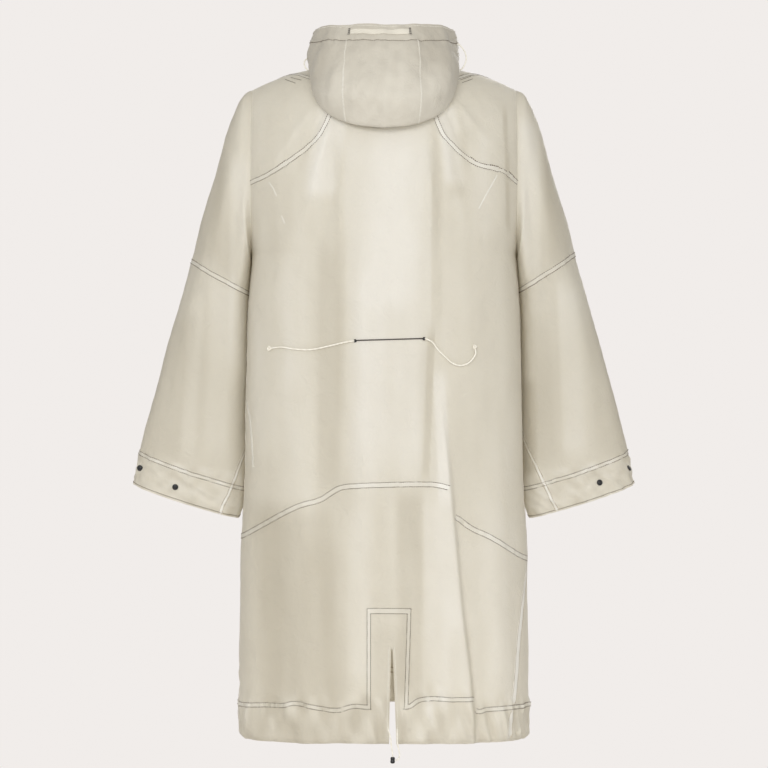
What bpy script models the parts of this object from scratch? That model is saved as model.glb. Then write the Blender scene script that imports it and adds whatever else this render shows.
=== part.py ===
"""A long hooded parka that hangs as if worn, seen from the back.

Every cut piece of cloth is one closed thin-walled solid. All the pieces of the
body lie on one surface: oval rings from the armpits to the hem, and a profile
over the shoulder above them. Metres, +Z up, +Y towards the garment's front,
origin at the base of the neck, where the wearer carries the garment.
"""
import math

import bmesh
import bpy
import numpy as np

# ---- Driving dimensions, in metres ----
WALL = 0.0016
TAPE = 0.0010
HALF_SEAM_GAP = 0.00015
LIFT = 0.0003

ARMHOLE_X = 0.2285
ARMPIT_Z = -0.313
SHOULDER_ROUND = 0.160
YOKE_END_Z = -0.192
VENT_TOP_Z = -0.917
HEM_Z = -1.147
FRONT_HEM_RISE = 0.046
HEM_BAND_HEIGHT = 0.061
PLACKET_HALF_WIDTH = 0.021

RING_POWER = 2.6
SHOULDER_POWER = 2.3
NECK_POWER = 2.2
NECK_HALF_WIDTH = 0.088
NECK_BACK = 0.092
NECK_FRONT = 0.118

CORD_DIAMETER = 0.0028
FINE_CORD_DIAMETER = 0.0024
SNAP_DIAMETER = 0.0105
SNAP_HEIGHT = 0.0026
TOGGLE_LENGTH = 0.011
TOGGLE_DIAMETER = 0.008

# Shoulder ridge: distance from the centre, height.
RIDGE = ((0.0, 0.0300), (0.05, 0.0265), (0.088, 0.0195), (0.126, 0.0085), (0.148, 0.0035),
         (0.177, -0.0050), (0.200, -0.0140), (0.2145, -0.0205), (0.2285, -0.0275), (0.26, -0.045))
# Body rings: height, half width.
HALF_WIDTH = ((-1.25, 0.2505), (-1.06, 0.2505), (-0.92, 0.2490), (-0.80, 0.2470), (-0.72, 0.2422),
              (-0.52, 0.2380), (-0.38, 0.2342), (-0.33, 0.2300), (-0.313, 0.2285))
# Body rings: height, depth of the back and of the front.
BACK_DEPTH = ((-1.25, 0.150), (-0.90, 0.148), (-0.60, 0.143), (-0.30, 0.152), (-0.12, 0.155),
              (0.05, 0.155))
FRONT_DEPTH = ((-1.25, 0.142), (-0.90, 0.140), (-0.60, 0.136), (-0.30, 0.140), (-0.12, 0.138),
               (0.05, 0.135))
# Extra half width of the ring above the armpit, which opens the armhole.
ARMHOLE_FLARE = 0.024
ARMHOLE_FLARE_HEIGHT = 0.20

# Side seam on the right: height, angle round the ring in degrees.
SIDE_SEAM_RIGHT = ((-1.25, 47.0), (-1.145, 51.0), (-1.065, 55.7), (-1.009, 58.5), (-0.952, 62.0),
                   (-0.896, 68.0), (-0.854, 76.0), (-0.80, 86.0), (-0.74, 90.0), (-0.3, 90.0))
# Curved lower seam of the back: across, height.
LOWER_SEAM = ((-0.262, -0.804), (-0.239, -0.793), (-0.207, -0.773), (-0.163, -0.749),
              (-0.141, -0.739), (-0.109, -0.729), (-0.080, -0.711), (-0.042, -0.7055), (0.0, -0.704),
              (0.064, -0.703), (0.090, -0.704), (0.104, -0.7075), (0.1115, -0.711), (0.1135, -0.715),
              (0.1165, -0.751), (0.1185, -0.7555), (0.128, -0.763), (0.143, -0.775), (0.175, -0.792),
              (0.209, -0.814), (0.245, -0.835), (0.262, -0.842))
# Top edge of the hem band on the back: across, height.
HEM_SEAM = ((-0.262, -1.086), (-0.249, -1.085), (-0.207, -1.081), (-0.168, -1.0793),
            (-0.155, -1.0757), (-0.117, -1.081), (-0.075, -1.0862), (-0.054, -1.0797),
            (-0.027, -1.0810), (0.036, -1.0805), (0.045, -1.0780), (0.058, -1.0690), (0.078, -1.066),
            (0.110, -1.068), (0.140, -1.0680), (0.1485, -1.0690), (0.1505, -1.0725),
            (0.1530, -1.0835), (0.1550, -1.0862), (0.175, -1.0866), (0.196, -1.086), (0.262, -1.086))
# Back yoke seam on each side: distance from the centre, height on the back.
YOKE_SEAM = {-1: ((0.092, -0.080), (0.1025, -0.103), (0.1285, -0.1335), (0.1555, -0.154),
                  (0.183, -0.1715), (0.207, -0.184), (ARMHOLE_X, YOKE_END_Z)),
             1: ((0.087, -0.083), (0.0965, -0.108), (0.1165, -0.132), (0.1385, -0.151),
                 (0.161, -0.164), (0.187, -0.170), (0.204, -0.1745), (ARMHOLE_X, YOKE_END_Z))}
# Front yoke seam: distance from the centre, place over the shoulder
# (negative on the back, zero on the ridge, positive on the front).
FRONT_YOKE_SEAM = ((0.085, -0.415), (0.110, -0.425), (0.132, -0.345), (0.151, -0.221),
                   (0.172, -0.060), (0.197, 0.150), (ARMHOLE_X, 0.420))
NECK_ANGLE_BACK_SEAM = 32.0
NECK_ANGLE_FRONT_SEAM = 43.0

VENT_LEFT_ANGLE = -6.45
VENT_RIGHT_ANGLE = 10.35
SLIT_APEX_Z = -0.986
SLIT_ANGLE = 2.95
SLIT_ANGLE_WIDTH_TOP = 0.25
SLIT_ANGLE_WIDTH_HEM = 2.6

# Large soft folds: across and height at the top and foot, half width, depth
# outwards, side (-1 back, +1 front).
FOLDS = (
    (-0.064, -0.23, -0.063, -0.66, 0.020, -0.0050, -1),
    (-0.036, -0.25, -0.030, -0.70, 0.022, 0.0040, -1),
    (-0.098, -0.45, -0.072, -1.10, 0.024, -0.0080, -1),
    (-0.145, -0.50, -0.125, -1.15, 0.030, 0.0070, -1),
    (-0.205, -0.62, -0.190, -1.15, 0.022, -0.0050, -1),
    (0.083, -0.40, 0.074, -0.67, 0.014, -0.0055, -1),
    (0.045, -0.75, 0.060, -1.15, 0.030, 0.0050, -1),
    (0.190, -0.55, 0.200, -1.15, 0.026, 0.0060, -1),
    (-0.150, -0.35, -0.165, -1.12, 0.030, 0.0070, 1),
    (-0.080, -0.40, -0.085, -1.12, 0.024, -0.0060, 1),
    (0.090, -0.32, 0.095, -1.12, 0.028, -0.0065, 1),
    (0.165, -0.40, 0.170, -1.12, 0.030, 0.0070, 1),
)
# The deep overlapping fold on the right of the back: height, place of its edge,
# depth outwards.
PLEAT = ((-1.20, 0.155, 0.0150), (-1.07, 0.149, 0.0150), (-0.914, 0.132, 0.0140),
         (-0.757, 0.118, 0.0120), (-0.66, 0.109, 0.0080), (-0.60, 0.103, 0.0040),
         (-0.54, 0.094, 0.0), (-0.40, 0.090, 0.0), (0.0, 0.090, 0.0))
PLEAT_STEP = 0.0045
PLEAT_REACH = 0.050

# Sleeve rings: outer x, outer z, inner x, inner z, depth behind, depth in front, bow,
# distance that the sleeve hangs forward.
SLEEVE = (
    (0.2285, -0.0275, 0.2285, -0.3130, 0.086, 0.079, 0.000, 0.000),
    (0.2434, -0.0379, 0.2303, -0.3164, 0.088, 0.080, 0.000, 0.004),
    (0.2590, -0.0669, 0.2318, -0.3226, 0.091, 0.082, 0.000, 0.010),
    (0.2765, -0.1116, 0.2321, -0.3314, 0.094, 0.084, 0.000, 0.018),
    (0.2955, -0.1808, 0.2332, -0.3472, 0.096, 0.085, 0.001, 0.027),
    (0.3179, -0.2503, 0.2342, -0.3630, 0.094, 0.084, 0.002, 0.034),
    (0.3357, -0.3217, 0.2348, -0.3790, 0.090, 0.080, 0.003, 0.040),
    (0.3658, -0.4247, 0.2365, -0.4544, 0.080, 0.072, 0.004, 0.046),
    (0.3951, -0.5297, 0.2365, -0.5562, 0.065, 0.060, 0.006, 0.051),
    (0.4277, -0.6542, 0.2407, -0.7166, 0.046, 0.044, 0.008, 0.055),
    (0.4384, -0.7103, 0.2529, -0.7682, 0.041, 0.039, 0.007, 0.057),
)
SLEEVE_POWER = 2.2
ELBOW_RING = {-1: 6.0, 1: 5.86}
CUFF_RING = 9.0
END_RING = 10.0
# Snap places on the cuff: side, ring, angle from the outer edge in degrees.
SNAPS = (("left_outer", -1, 9.32, 27.0), ("left_inner", -1, 9.46, 76.0),
         ("right_outer", 1, 9.36, 28.0), ("right_inner", 1, 9.40, 68.5))

# Hood stations from the back centre (0) to the front centre (1), right half:
# place, bottom x y z, bulge x y z, upper x y z, brim x y z.
HOOD = (
    (0.00, 0.000, -0.180, -0.1050, 0.000, -0.207, -0.058, 0.000, -0.186, 0.018, 0.000, -0.152, 0.0725),
    (0.12, 0.052, -0.171, -0.0985, 0.056, -0.198, -0.052, 0.053, -0.177, 0.021, 0.048, -0.145, 0.0732),
    (0.24, 0.097, -0.148, -0.0775, 0.1055, -0.166, -0.036, 0.102, -0.142, 0.028, 0.094, -0.114, 0.0744),
    (0.36, 0.1205, -0.119, -0.0400, 0.1262, -0.118, -0.012, 0.1245, -0.094, 0.036, 0.1165, -0.075, 0.0714),
    (0.48, 0.1250, -0.060, 0.0070, 0.1275, -0.062, 0.020, 0.1258, -0.048, 0.046, 0.1205, -0.030, 0.0708),
    (0.60, 0.1160, 0.030, 0.0180, 0.1210, 0.032, 0.028, 0.1210, 0.034, 0.048, 0.1150, 0.036, 0.0700),
    (0.72, 0.0860, 0.078, 0.0060, 0.0930, 0.083, 0.018, 0.0960, 0.084, 0.042, 0.0910, 0.080, 0.0680),
    (0.84, 0.0560, 0.118, -0.0200, 0.0620, 0.125, -0.005, 0.0640, 0.126, 0.024, 0.0600, 0.120, 0.0600),
    (1.00, 0.0030, 0.134, -0.0330, 0.0030, 0.142, -0.016, 0.0030, 0.143, 0.010, 0.0030, 0.138, 0.0480),
)
# Levels of the seven control points, from the neckline to the brim.
HOOD_LEVELS = (0.0, 0.14, 0.28, 0.42, 0.56, 0.80, 1.0)
HOOD_SEAM_LEFT = -0.150
HOOD_SEAM_RIGHT = 0.135
HOOD_BAND_LEVEL = 0.895
HOOD_UNDER_LIFT = 0.0012
HOOD_UNDER_RISE = 0.0035

# Dark strip between the waist cord's exits: across and height of both ends.
WAIST_SLOT = ((-0.049, -0.4620), (0.068, -0.4585))
WAIST_SLOT_HEIGHT = 0.0030
# Cord routes by hand. On the body: across, height. Elsewhere: x, y, z.
WAIST_CORD_LEFT = ((-0.0505, -0.4635), (-0.066, -0.466), (-0.096, -0.473), (-0.125, -0.4785),
                   (-0.152, -0.4775), (-0.177, -0.474), (-0.194, -0.4760))
WAIST_CORD_RIGHT = ((0.0695, -0.4595), (0.081, -0.465), (0.091, -0.478), (0.104, -0.491),
                    (0.117, -0.502), (0.130, -0.5055), (0.142, -0.502), (0.151, -0.494),
                    (0.156, -0.484), (0.154, -0.4745))
HOOD_CORD_LEFT = ((-0.1300, -0.080, 0.0215), (-0.1335, -0.083, 0.0195), (-0.1362, -0.087, 0.0150),
                  (-0.1365, -0.091, 0.0095), (-0.1345, -0.093, 0.0045), (-0.1300, -0.092, 0.0000))
HOOD_CORD_RIGHT = ((0.1266, -0.0738, 0.0478), (0.1345, -0.077, 0.0395), (0.1395, -0.080, 0.0300),
                   (0.1410, -0.083, 0.0210), (0.1385, -0.086, 0.0110), (0.1345, -0.087, 0.0040),
                   (0.1297, -0.086, 0.0000))
HEM_CORD_LEFT = ((0.0060, -0.1517, -1.1170), (0.0085, -0.1525, -1.1260), (0.0110, -0.1545, -1.1360),
                 (0.0122, -0.1550, -1.1480), (0.0140, -0.1545, -1.1580), (0.0148, -0.1540, -1.1680))
HEM_CORD_RIGHT = ((0.0222, -0.1520, -1.1210), (0.0222, -0.1530, -1.1290), (0.0226, -0.1550, -1.1430),
                  (0.0250, -0.1555, -1.1560), (0.0262, -0.1550, -1.1660), (0.0240, -0.1545, -1.1718),
                  (0.0192, -0.1540, -1.1735))
TOGGLE_TOP = (0.0148, -0.1540, -1.1680)
TOGGLE_AXIS = (-0.03, 0.0, -1.0)


# ---- Small numeric helpers ----
def smooth_table(rows, value, column=1):
    """Value of one column of a table at the given key, on a smooth curve through its rows."""
    data = np.array(sorted(rows), dtype=float)
    keys = data[:, 0]
    values = data[:, column]
    value = np.asarray(value, dtype=float)
    low = np.clip(np.searchsorted(keys, value) - 1, 0, len(keys) - 2)
    slopes = np.gradient(values, keys)
    step = keys[low + 1] - keys[low]
    part = np.clip((value - keys[low]) / step, 0.0, 1.0)
    square = part * part
    cube = square * part
    return ((2 * cube - 3 * square + 1) * values[low]
            + (cube - 2 * square + part) * step * slopes[low]
            + (3 * square - 2 * cube) * values[low + 1]
            + (cube - square) * step * slopes[low + 1])


def ease(value):
    """Smooth step from 0 to 1."""
    part = np.clip(value, 0.0, 1.0)
    return part * part * (3 - 2 * part)


def oval_radius(angle, power):
    """Radius of the unit superellipse in the direction of an angle."""
    return (np.abs(np.sin(angle)) ** power + np.abs(np.cos(angle)) ** power) ** (-1.0 / power)


def steps(*runs):
    """Values along joined runs, each given as start, end and number of steps."""
    values = [runs[0][0]]
    for start, end, count in runs:
        values.extend(start + (end - start) * (i + 1) / count for i in range(count))
    return np.array(values)


# ---- The body's surface ----
def half_width(z):
    """Half width of the body's ring at a height."""
    rise = np.clip((z - ARMPIT_Z) / ARMHOLE_FLARE_HEIGHT, 0.0, 1.0)
    above = ARMHOLE_X + ARMHOLE_FLARE * (1 - (1 - rise) ** 2)
    return np.where(z > ARMPIT_Z, above, smooth_table(HALF_WIDTH, z))


def ring_depth(z, front):
    """Depth of the back or the front of the body's ring at a height."""
    return np.where(front, smooth_table(FRONT_DEPTH, z), smooth_table(BACK_DEPTH, z))


def depth_at(x, z, front):
    """Depth of the body at a distance from the centre, before the shoulder rounds it off."""
    across = np.clip(np.abs(x) / half_width(z), 0.0, 1.0)
    return ring_depth(z, front) * (1 - across ** RING_POWER) ** (1 / RING_POWER)


def ridge_height(x):
    """Height of the shoulder ridge at a distance from the centre."""
    return smooth_table(RIDGE, np.abs(x))


def over_shoulder(x, place):
    """Point of the body at x and a place over the shoulder, from below on the back (under -1)
    over the ridge (0) to below on the front (over 1)."""
    x, place = np.broadcast_arrays(np.asarray(x, float), np.asarray(place, float))
    size = np.abs(place)
    angle = np.minimum(size, 1.0) * math.pi / 2
    radius = oval_radius(angle, SHOULDER_POWER)
    z = (ridge_height(x) - SHOULDER_ROUND + SHOULDER_ROUND * radius * np.cos(angle)
         - SHOULDER_ROUND * np.maximum(size - 1.0, 0.0))
    front = place > 0
    y = np.sign(place) * depth_at(x, z, front) * radius * np.sin(angle)
    return np.stack([x, y, z], axis=-1)


def place_from_height(x, z, front):
    """Place over the shoulder of the point at x and height z."""
    level = (z - ridge_height(x) + SHOULDER_ROUND) / SHOULDER_ROUND
    inside = np.clip(level, 1e-9, 1 - 1e-9)
    slope = ((1 - inside ** SHOULDER_POWER) / inside ** SHOULDER_POWER) ** (1 / SHOULDER_POWER)
    size = np.where(level > 0, np.arctan(slope) / (math.pi / 2), 1.0 - level)
    return np.where(front, size, -size)


def place_from_depth(x, y):
    """Place over the shoulder of the point at x and y."""
    front = y > 0
    z = ridge_height(x) - 0.03
    size = np.zeros_like(x)
    for _ in range(12):
        share = np.clip(np.abs(y) / depth_at(x, z, front), 0.0, 0.999)
        slope = (share ** SHOULDER_POWER / (1 - share ** SHOULDER_POWER)) ** (1 / SHOULDER_POWER)
        angle = np.arctan(slope)
        size = angle / (math.pi / 2)
        z = (ridge_height(x) - SHOULDER_ROUND
             + SHOULDER_ROUND * oval_radius(angle, SHOULDER_POWER) * np.cos(angle))
    return np.where(front, size, -size)


def pleat_push(x, z):
    """Outward push of the deep fold: it rises to its edge and drops steeply beyond it."""
    edge = smooth_table(PLEAT, z, 1)
    depth = np.maximum(smooth_table(PLEAT, z, 2), 0.0)
    before = edge - x
    drop = 1 / (1 + np.exp(np.clip(-before / PLEAT_STEP * 2.2, -40, 40)))
    rise = np.exp(-(np.maximum(before, 0.0) / PLEAT_REACH) ** 2)
    return depth * drop * rise


def fold_push(points):
    """Outward push of the large folds at points of the body."""
    x, y, z = points[..., 0], points[..., 1], points[..., 2]
    push = np.zeros_like(x)
    for top_x, top_z, foot_x, foot_z, width, depth, side in FOLDS:
        down = (top_z - z) / (top_z - foot_z)
        centre = top_x + (foot_x - top_x) * np.clip(down, 0.0, 1.2)
        shape = np.exp(-((x - centre) / width) ** 2)
        fade = ease(down / 0.45) * ease((1.35 - down) / 0.3)
        push += np.where(y * side > 0, depth * shape * fade, 0.0)
    push += np.where(y < 0, pleat_push(x, z), 0.0)
    across = np.clip(np.abs(x) / half_width(z), 0.0, 1.0)
    return push * (1 - across ** 10)


def drape(points):
    """Points of the plain body pushed outwards by the large folds."""
    x, y, z = points[..., 0], points[..., 1], points[..., 2]
    width = half_width(z)
    depth = ring_depth(z, y > 0)
    out_x = np.sign(x) * (np.abs(x) / width) ** (RING_POWER - 1) / width
    out_y = np.sign(y) * (np.abs(y) / depth) ** (RING_POWER - 1) / depth
    length = np.maximum(np.hypot(out_x, out_y), 1e-9)
    push = fold_push(points)
    moved = points.copy()
    moved[..., 0] += push * out_x / length
    moved[..., 1] += push * out_y / length
    return moved


def ring_point(angle, z):
    """Point of the body's ring at an angle (0 back centre, 90 degrees right, 180 front)."""
    angle, z = np.broadcast_arrays(np.asarray(angle, float), np.asarray(z, float))
    radius = oval_radius(angle, RING_POWER)
    x = half_width(z) * radius * np.sin(angle)
    front = np.abs(angle) > math.pi / 2
    level = np.clip((z - ridge_height(x) + SHOULDER_ROUND) / SHOULDER_ROUND, 0.0, 1.0)
    rounding = (1 - level ** SHOULDER_POWER) ** (1 / SHOULDER_POWER)
    y = -ring_depth(z, front) * radius * np.cos(angle) * rounding
    return np.stack([x, y, z], axis=-1)


def armhole_angle(z):
    """Angle at which the ring meets the armhole, or a right angle below the armpit."""
    share = np.clip((ARMHOLE_X / half_width(z)) ** RING_POWER, 0.0, 1 - 1e-12)
    open_angle = np.arctan((share / (1 - share)) ** (1 / RING_POWER))
    return np.where(z > ARMPIT_Z, open_angle, math.pi / 2)


def neck_place(angle):
    """Neckline in the over-shoulder plane: x and place, at an angle round the neck."""
    radius = oval_radius(angle, NECK_POWER)
    x = NECK_HALF_WIDTH * radius * np.sin(angle)
    reach = np.where(np.cos(angle) > 0, NECK_BACK, NECK_FRONT)
    y = -reach * radius * np.cos(angle)
    return np.stack([x, place_from_depth(x, y)], axis=-1)


def blend_patch(left, right, top, bottom, u, v):
    """Patch between four boundary curves (Coons patch). Each curve is a function of 0 to 1."""
    u, v = np.broadcast_arrays(np.asarray(u, float), np.asarray(v, float))
    a, b = u[..., None], v[..., None]
    sides = (1 - a) * left(v) + a * right(v)
    ends = (1 - b) * top(u) + b * bottom(u)
    zero, one = np.zeros_like(u), np.ones_like(u)
    corners = ((1 - a) * (1 - b) * top(zero) + a * (1 - b) * top(one)
               + (1 - a) * b * bottom(zero) + a * b * bottom(one))
    return sides + ends - corners


def along_points(points, part):
    """Point at a share of the way along a hand-made list, on a smooth curve."""
    data = np.array(points, dtype=float)
    lengths = np.concatenate([[0.0], np.cumsum(np.linalg.norm(np.diff(data, axis=0), axis=1))])
    keys = lengths / lengths[-1]
    columns = []
    for i in range(data.shape[1]):
        columns.append(smooth_table(np.column_stack([keys, data[:, i]]).tolist(), part))
    return np.stack(columns, axis=-1)


# ---- Seams in the over-shoulder plane (x, place) ----
def seam_over_x(rows, side, part):
    """Point of a seam that runs outwards, by its share of the way across."""
    data = np.array(rows, dtype=float)
    x = data[0, 0] + (data[-1, 0] - data[0, 0]) * np.asarray(part, dtype=float)
    return np.stack([side * x, smooth_table(rows, x)], axis=-1)


def yoke_seam(side, part):
    """Back yoke seam from the neckline (0) to the armhole (1)."""
    rows = [tuple(neck_place(np.array([math.radians(NECK_ANGLE_BACK_SEAM)]))[0])]
    for x, z in YOKE_SEAM[side]:
        rows.append((x, float(place_from_height(np.array(x), np.array(z), False))))
    return seam_over_x(rows, side, part)


def front_yoke_seam(side, part):
    """Front yoke seam from the neckline (0) over the shoulder to the armhole (1)."""
    start = tuple(neck_place(np.array([math.radians(NECK_ANGLE_FRONT_SEAM)]))[0])
    return seam_over_x([start] + list(FRONT_YOKE_SEAM), side, part)


def neck_run(side, start, end, part):
    """Neckline between two angles in degrees, on one side."""
    angle = np.radians(start + (end - start) * np.asarray(part, float))
    run = neck_place(angle)
    return np.stack([side * run[..., 0], run[..., 1]], axis=-1)


def lower_seam_height(angle):
    """Height of the curved lower seam at an angle round the ring."""
    x = half_width(np.full_like(angle, -0.76)) * oval_radius(angle, RING_POWER) * np.sin(angle)
    return smooth_table(LOWER_SEAM, x)


def hem_seam_height(angle):
    """Height of the hem band's top edge on the back at an angle round the ring."""
    x = half_width(np.full_like(angle, -1.08)) * oval_radius(angle, RING_POWER) * np.sin(angle)
    return smooth_table(HEM_SEAM, x)


def hem_height(angle):
    """Height of the hem, which rises towards the front."""
    turn = np.abs(np.degrees(angle))
    return HEM_Z + FRONT_HEM_RISE * ease((turn - 92.0) / 60.0)


def side_angle(side, z):
    """Angle of the side seam at a height, or of the armhole above the armpit."""
    below = math.pi / 2 if side < 0 else np.radians(smooth_table(SIDE_SEAM_RIGHT, z))
    return side * np.where(z > ARMPIT_Z, armhole_angle(z), below)


# ---- Maps of the cut pieces: (u, v) from 0 to 1 to a point ----
# Columns of the back: share across and what lies there.
BACK_ANCHORS = (0.0, 0.36, 0.46, 0.60, 0.68, 1.0)


def back_angle(u, z):
    """Angle of a column of the back at a height. Columns follow the vent and the deep fold."""
    u, z = np.broadcast_arrays(np.asarray(u, float), np.asarray(z, float))
    left, right = side_angle(-1, z), side_angle(1, z)
    edge = smooth_table(PLEAT, z, 1) / half_width(z)
    share = np.clip(edge, 0.0, 0.98) ** RING_POWER
    fold = np.arctan((share / (1 - share)) ** (1 / RING_POWER))
    spread = math.radians(2.6)
    places = np.stack([left, np.full_like(z, math.radians(VENT_LEFT_ANGLE)),
                       np.full_like(z, math.radians(VENT_RIGHT_ANGLE)),
                       fold - spread, fold + spread, right], axis=-1)
    result = np.zeros_like(u)
    for i in range(len(BACK_ANCHORS) - 1):
        low, high = BACK_ANCHORS[i], BACK_ANCHORS[i + 1]
        part = (u - low) / (high - low)
        value = places[..., i] + (places[..., i + 1] - places[..., i]) * part
        result = np.where((u >= low) & (u <= high), value, result)
    return result


BACK_COLUMNS = steps((0.0, 0.36, 11), (0.36, 0.46, 4), (0.46, 0.60, 3), (0.60, 0.68, 4), (0.68, 1.0, 9))
BACK_TURN_Z = -0.62
BACK_UPPER_HEIGHTS = (YOKE_END_Z, -0.225, -0.262, -0.290, -0.305, ARMPIT_Z, -0.330, -0.370, -0.415,
                      -0.460, -0.505, -0.545, -0.585, BACK_TURN_Z)


def back_bib(u, v):
    """Back between the two yoke seams, from the neckline to the yoke's end."""
    def bottom(part):
        angle = back_angle(part, np.full_like(part, YOKE_END_Z))
        point = ring_point(angle, np.full_like(part, YOKE_END_Z))
        return np.stack([point[..., 0], place_from_height(point[..., 0], point[..., 2], False)], -1)

    flat = blend_patch(lambda p: yoke_seam(-1, p), lambda p: yoke_seam(1, p),
                       lambda p: neck_run(1, -NECK_ANGLE_BACK_SEAM, NECK_ANGLE_BACK_SEAM, p),
                       bottom, u, v)
    return drape(over_shoulder(flat[..., 0], flat[..., 1]))


def back_body(u, z):
    """Back below the yoke at a column and a height."""
    return drape(ring_point(back_angle(u, z), z))


def back_upper_map(u, v):
    """Upper back: v from 0 to 1 is the bib, 1 to 2 the straight part, 2 to 3 down to the seam."""
    straight_count = len(BACK_UPPER_HEIGHTS) - 1
    index = np.clip((v - 1.0) * straight_count, 0, straight_count)
    straight = np.interp(index, np.arange(straight_count + 1), BACK_UPPER_HEIGHTS)
    turn = np.full_like(u, BACK_TURN_Z)
    seam = lower_seam_height(back_angle(u, np.full_like(u, -0.76)))
    low = turn + (seam - turn) * np.clip(v - 2.0, 0.0, 1.0)
    z = np.where(v > 2.0, low, straight)
    return np.where((v < 1.0)[..., None], back_bib(u, np.clip(v, 0.0, 1.0)), back_body(u, z))


def back_lower_map(u, v):
    """Lower back: v from 0 to 1 runs to the vent's top, 1 to 2 to the hem band."""
    top = lower_seam_height(back_angle(u, np.full_like(u, -0.76)))
    foot = hem_seam_height(back_angle(u, np.full_like(u, -1.08)))
    upper = top + (VENT_TOP_Z - top) * np.clip(v, 0.0, 1.0)
    lower = VENT_TOP_Z + (foot - VENT_TOP_Z) * np.clip(v - 1.0, 0.0, 1.0)
    return back_body(u, np.where(v > 1.0, lower, upper))


def hem_back_map(u, v):
    """Hem band of the back."""
    top = hem_seam_height(back_angle(u, np.full_like(u, -1.08)))
    return back_body(u, top + (HEM_Z - top) * v)


def vent_map(u, v):
    """Vent panel: u runs from its left edge (0) to the slit (1), (2) and its right edge (3)."""
    z = VENT_TOP_Z + (HEM_Z - VENT_TOP_Z) * v
    open_part = np.clip((SLIT_APEX_Z - z) / (SLIT_APEX_Z - HEM_Z), 0.0, 1.0)
    width = SLIT_ANGLE_WIDTH_TOP + (SLIT_ANGLE_WIDTH_HEM - SLIT_ANGLE_WIDTH_TOP) * open_part ** 0.8
    slit_left = SLIT_ANGLE - SLIT_ANGLE_WIDTH_TOP / 2 - 0.35 * width
    slit_right = SLIT_ANGLE + SLIT_ANGLE_WIDTH_TOP / 2 + 0.65 * width
    places = (np.full_like(z, VENT_LEFT_ANGLE), slit_left, slit_right,
              np.full_like(z, VENT_RIGHT_ANGLE))
    degrees = places[0]
    for i in range(3):
        part = np.clip(u - i, 0.0, 1.0)
        degrees = degrees + (places[i + 1] - places[i]) * part
    return drape(ring_point(np.radians(degrees), z))


def yoke_map(side):
    """Shoulder yoke: u from the neckline to the armhole, v from the back to the front seam."""
    def armhole(part):
        start = yoke_seam(side, np.ones(1))[0, 1]
        end = front_yoke_seam(side, np.ones(1))[0, 1]
        x = np.full_like(part, side * ARMHOLE_X)
        return np.stack([x, start + (end - start) * part], axis=-1)

    def surface(u, v):
        flat = blend_patch(
            lambda p: neck_run(side, NECK_ANGLE_BACK_SEAM, NECK_ANGLE_FRONT_SEAM, p), armhole,
            lambda p: yoke_seam(side, p), lambda p: front_yoke_seam(side, p), u, v)
        return drape(over_shoulder(flat[..., 0], flat[..., 1]))
    return surface


FRONT_TURN_Z = -0.170
FRONT_ARMHOLE_HEIGHTS = (FRONT_TURN_Z, -0.225, -0.262, -0.290, -0.305)
FRONT_SEAM_SHARE = 0.6
# Rows of the back between the turn, the lower seam, the vent's top and the hem band. The fronts
# share them, so both sides of a side seam have their corners at the same heights.
ROWS_TO_SEAM = 4
ROWS_TO_VENT = 5
ROWS_TO_BAND = 4


def front_heights(side):
    """Heights of the front's rows from the chest to the level of the vent's top."""
    edge = side_angle(side, np.array(-0.76))
    seam = float(lower_seam_height(edge))
    heights = list(FRONT_ARMHOLE_HEIGHTS)
    heights.extend(z for z in BACK_UPPER_HEIGHTS if z <= ARMPIT_Z)
    heights.extend(steps((BACK_TURN_Z, seam, ROWS_TO_SEAM))[1:])
    heights.extend(steps((seam, VENT_TOP_Z, ROWS_TO_VENT))[1:])
    return np.array(heights)


def placket_angle(z):
    """Angle between the front centre and the edge of the placket at a height."""
    share = np.clip(PLACKET_HALF_WIDTH / half_width(z), 0.0, 0.9) ** RING_POWER
    return np.arctan((share / (1 - share)) ** (1 / RING_POWER))


def front_angle(side, u, z):
    """Angle of a column of the front: 0 at the placket, 1 at the armhole or side seam."""
    u, z = np.broadcast_arrays(np.asarray(u, float), np.asarray(z, float))
    centre = side * (math.pi - placket_angle(z))
    edge = side_angle(side, z)
    edge = np.where(z > ARMPIT_Z, side * (math.pi - armhole_angle(z)), edge)
    return centre + (edge - centre) * u


def front_body(side, u, z):
    """Front below its top part at a column and a height."""
    return drape(ring_point(front_angle(side, u, z), z))


def front_top(side, u, v):
    """Front from the neckline to a level line across the chest."""
    def centre_line(part):
        x = np.full_like(part, side * PLACKET_HALF_WIDTH)
        start = place_from_depth(x, np.full_like(part, neck_front_depth()))
        end = place_from_height(x, np.full_like(part, FRONT_TURN_Z), True)
        return np.stack([x, start + (end - start) * part], axis=-1)

    def outer_line(part):
        seam = front_yoke_seam(side, np.clip(part / FRONT_SEAM_SHARE, 0.0, 1.0))
        x = np.full_like(part, side * ARMHOLE_X)
        end = place_from_height(x, np.full_like(part, FRONT_TURN_Z), True)
        rest = np.clip((part - FRONT_SEAM_SHARE) / (1 - FRONT_SEAM_SHARE), 0.0, 1.0)
        armhole = np.stack([x, seam[..., 1] + (end - seam[..., 1]) * rest], axis=-1)
        return np.where((part > FRONT_SEAM_SHARE)[..., None], armhole, seam)

    def chest_line(part):
        z = np.full_like(part, FRONT_TURN_Z)
        point = ring_point(front_angle(side, part, z), z)
        return np.stack([point[..., 0], place_from_height(point[..., 0], z, True)], axis=-1)

    centre_turn = math.degrees(neck_front_angle())
    flat = blend_patch(centre_line, outer_line,
                       lambda p: neck_run(side, centre_turn, NECK_ANGLE_FRONT_SEAM, p),
                       chest_line, u, v)
    return drape(over_shoulder(flat[..., 0], flat[..., 1]))


def neck_front_angle():
    """Angle at which the neckline meets the edge of the placket."""
    share = (PLACKET_HALF_WIDTH / NECK_HALF_WIDTH) ** NECK_POWER
    return math.pi - math.atan((share / (1 - share)) ** (1 / NECK_POWER))


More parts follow.
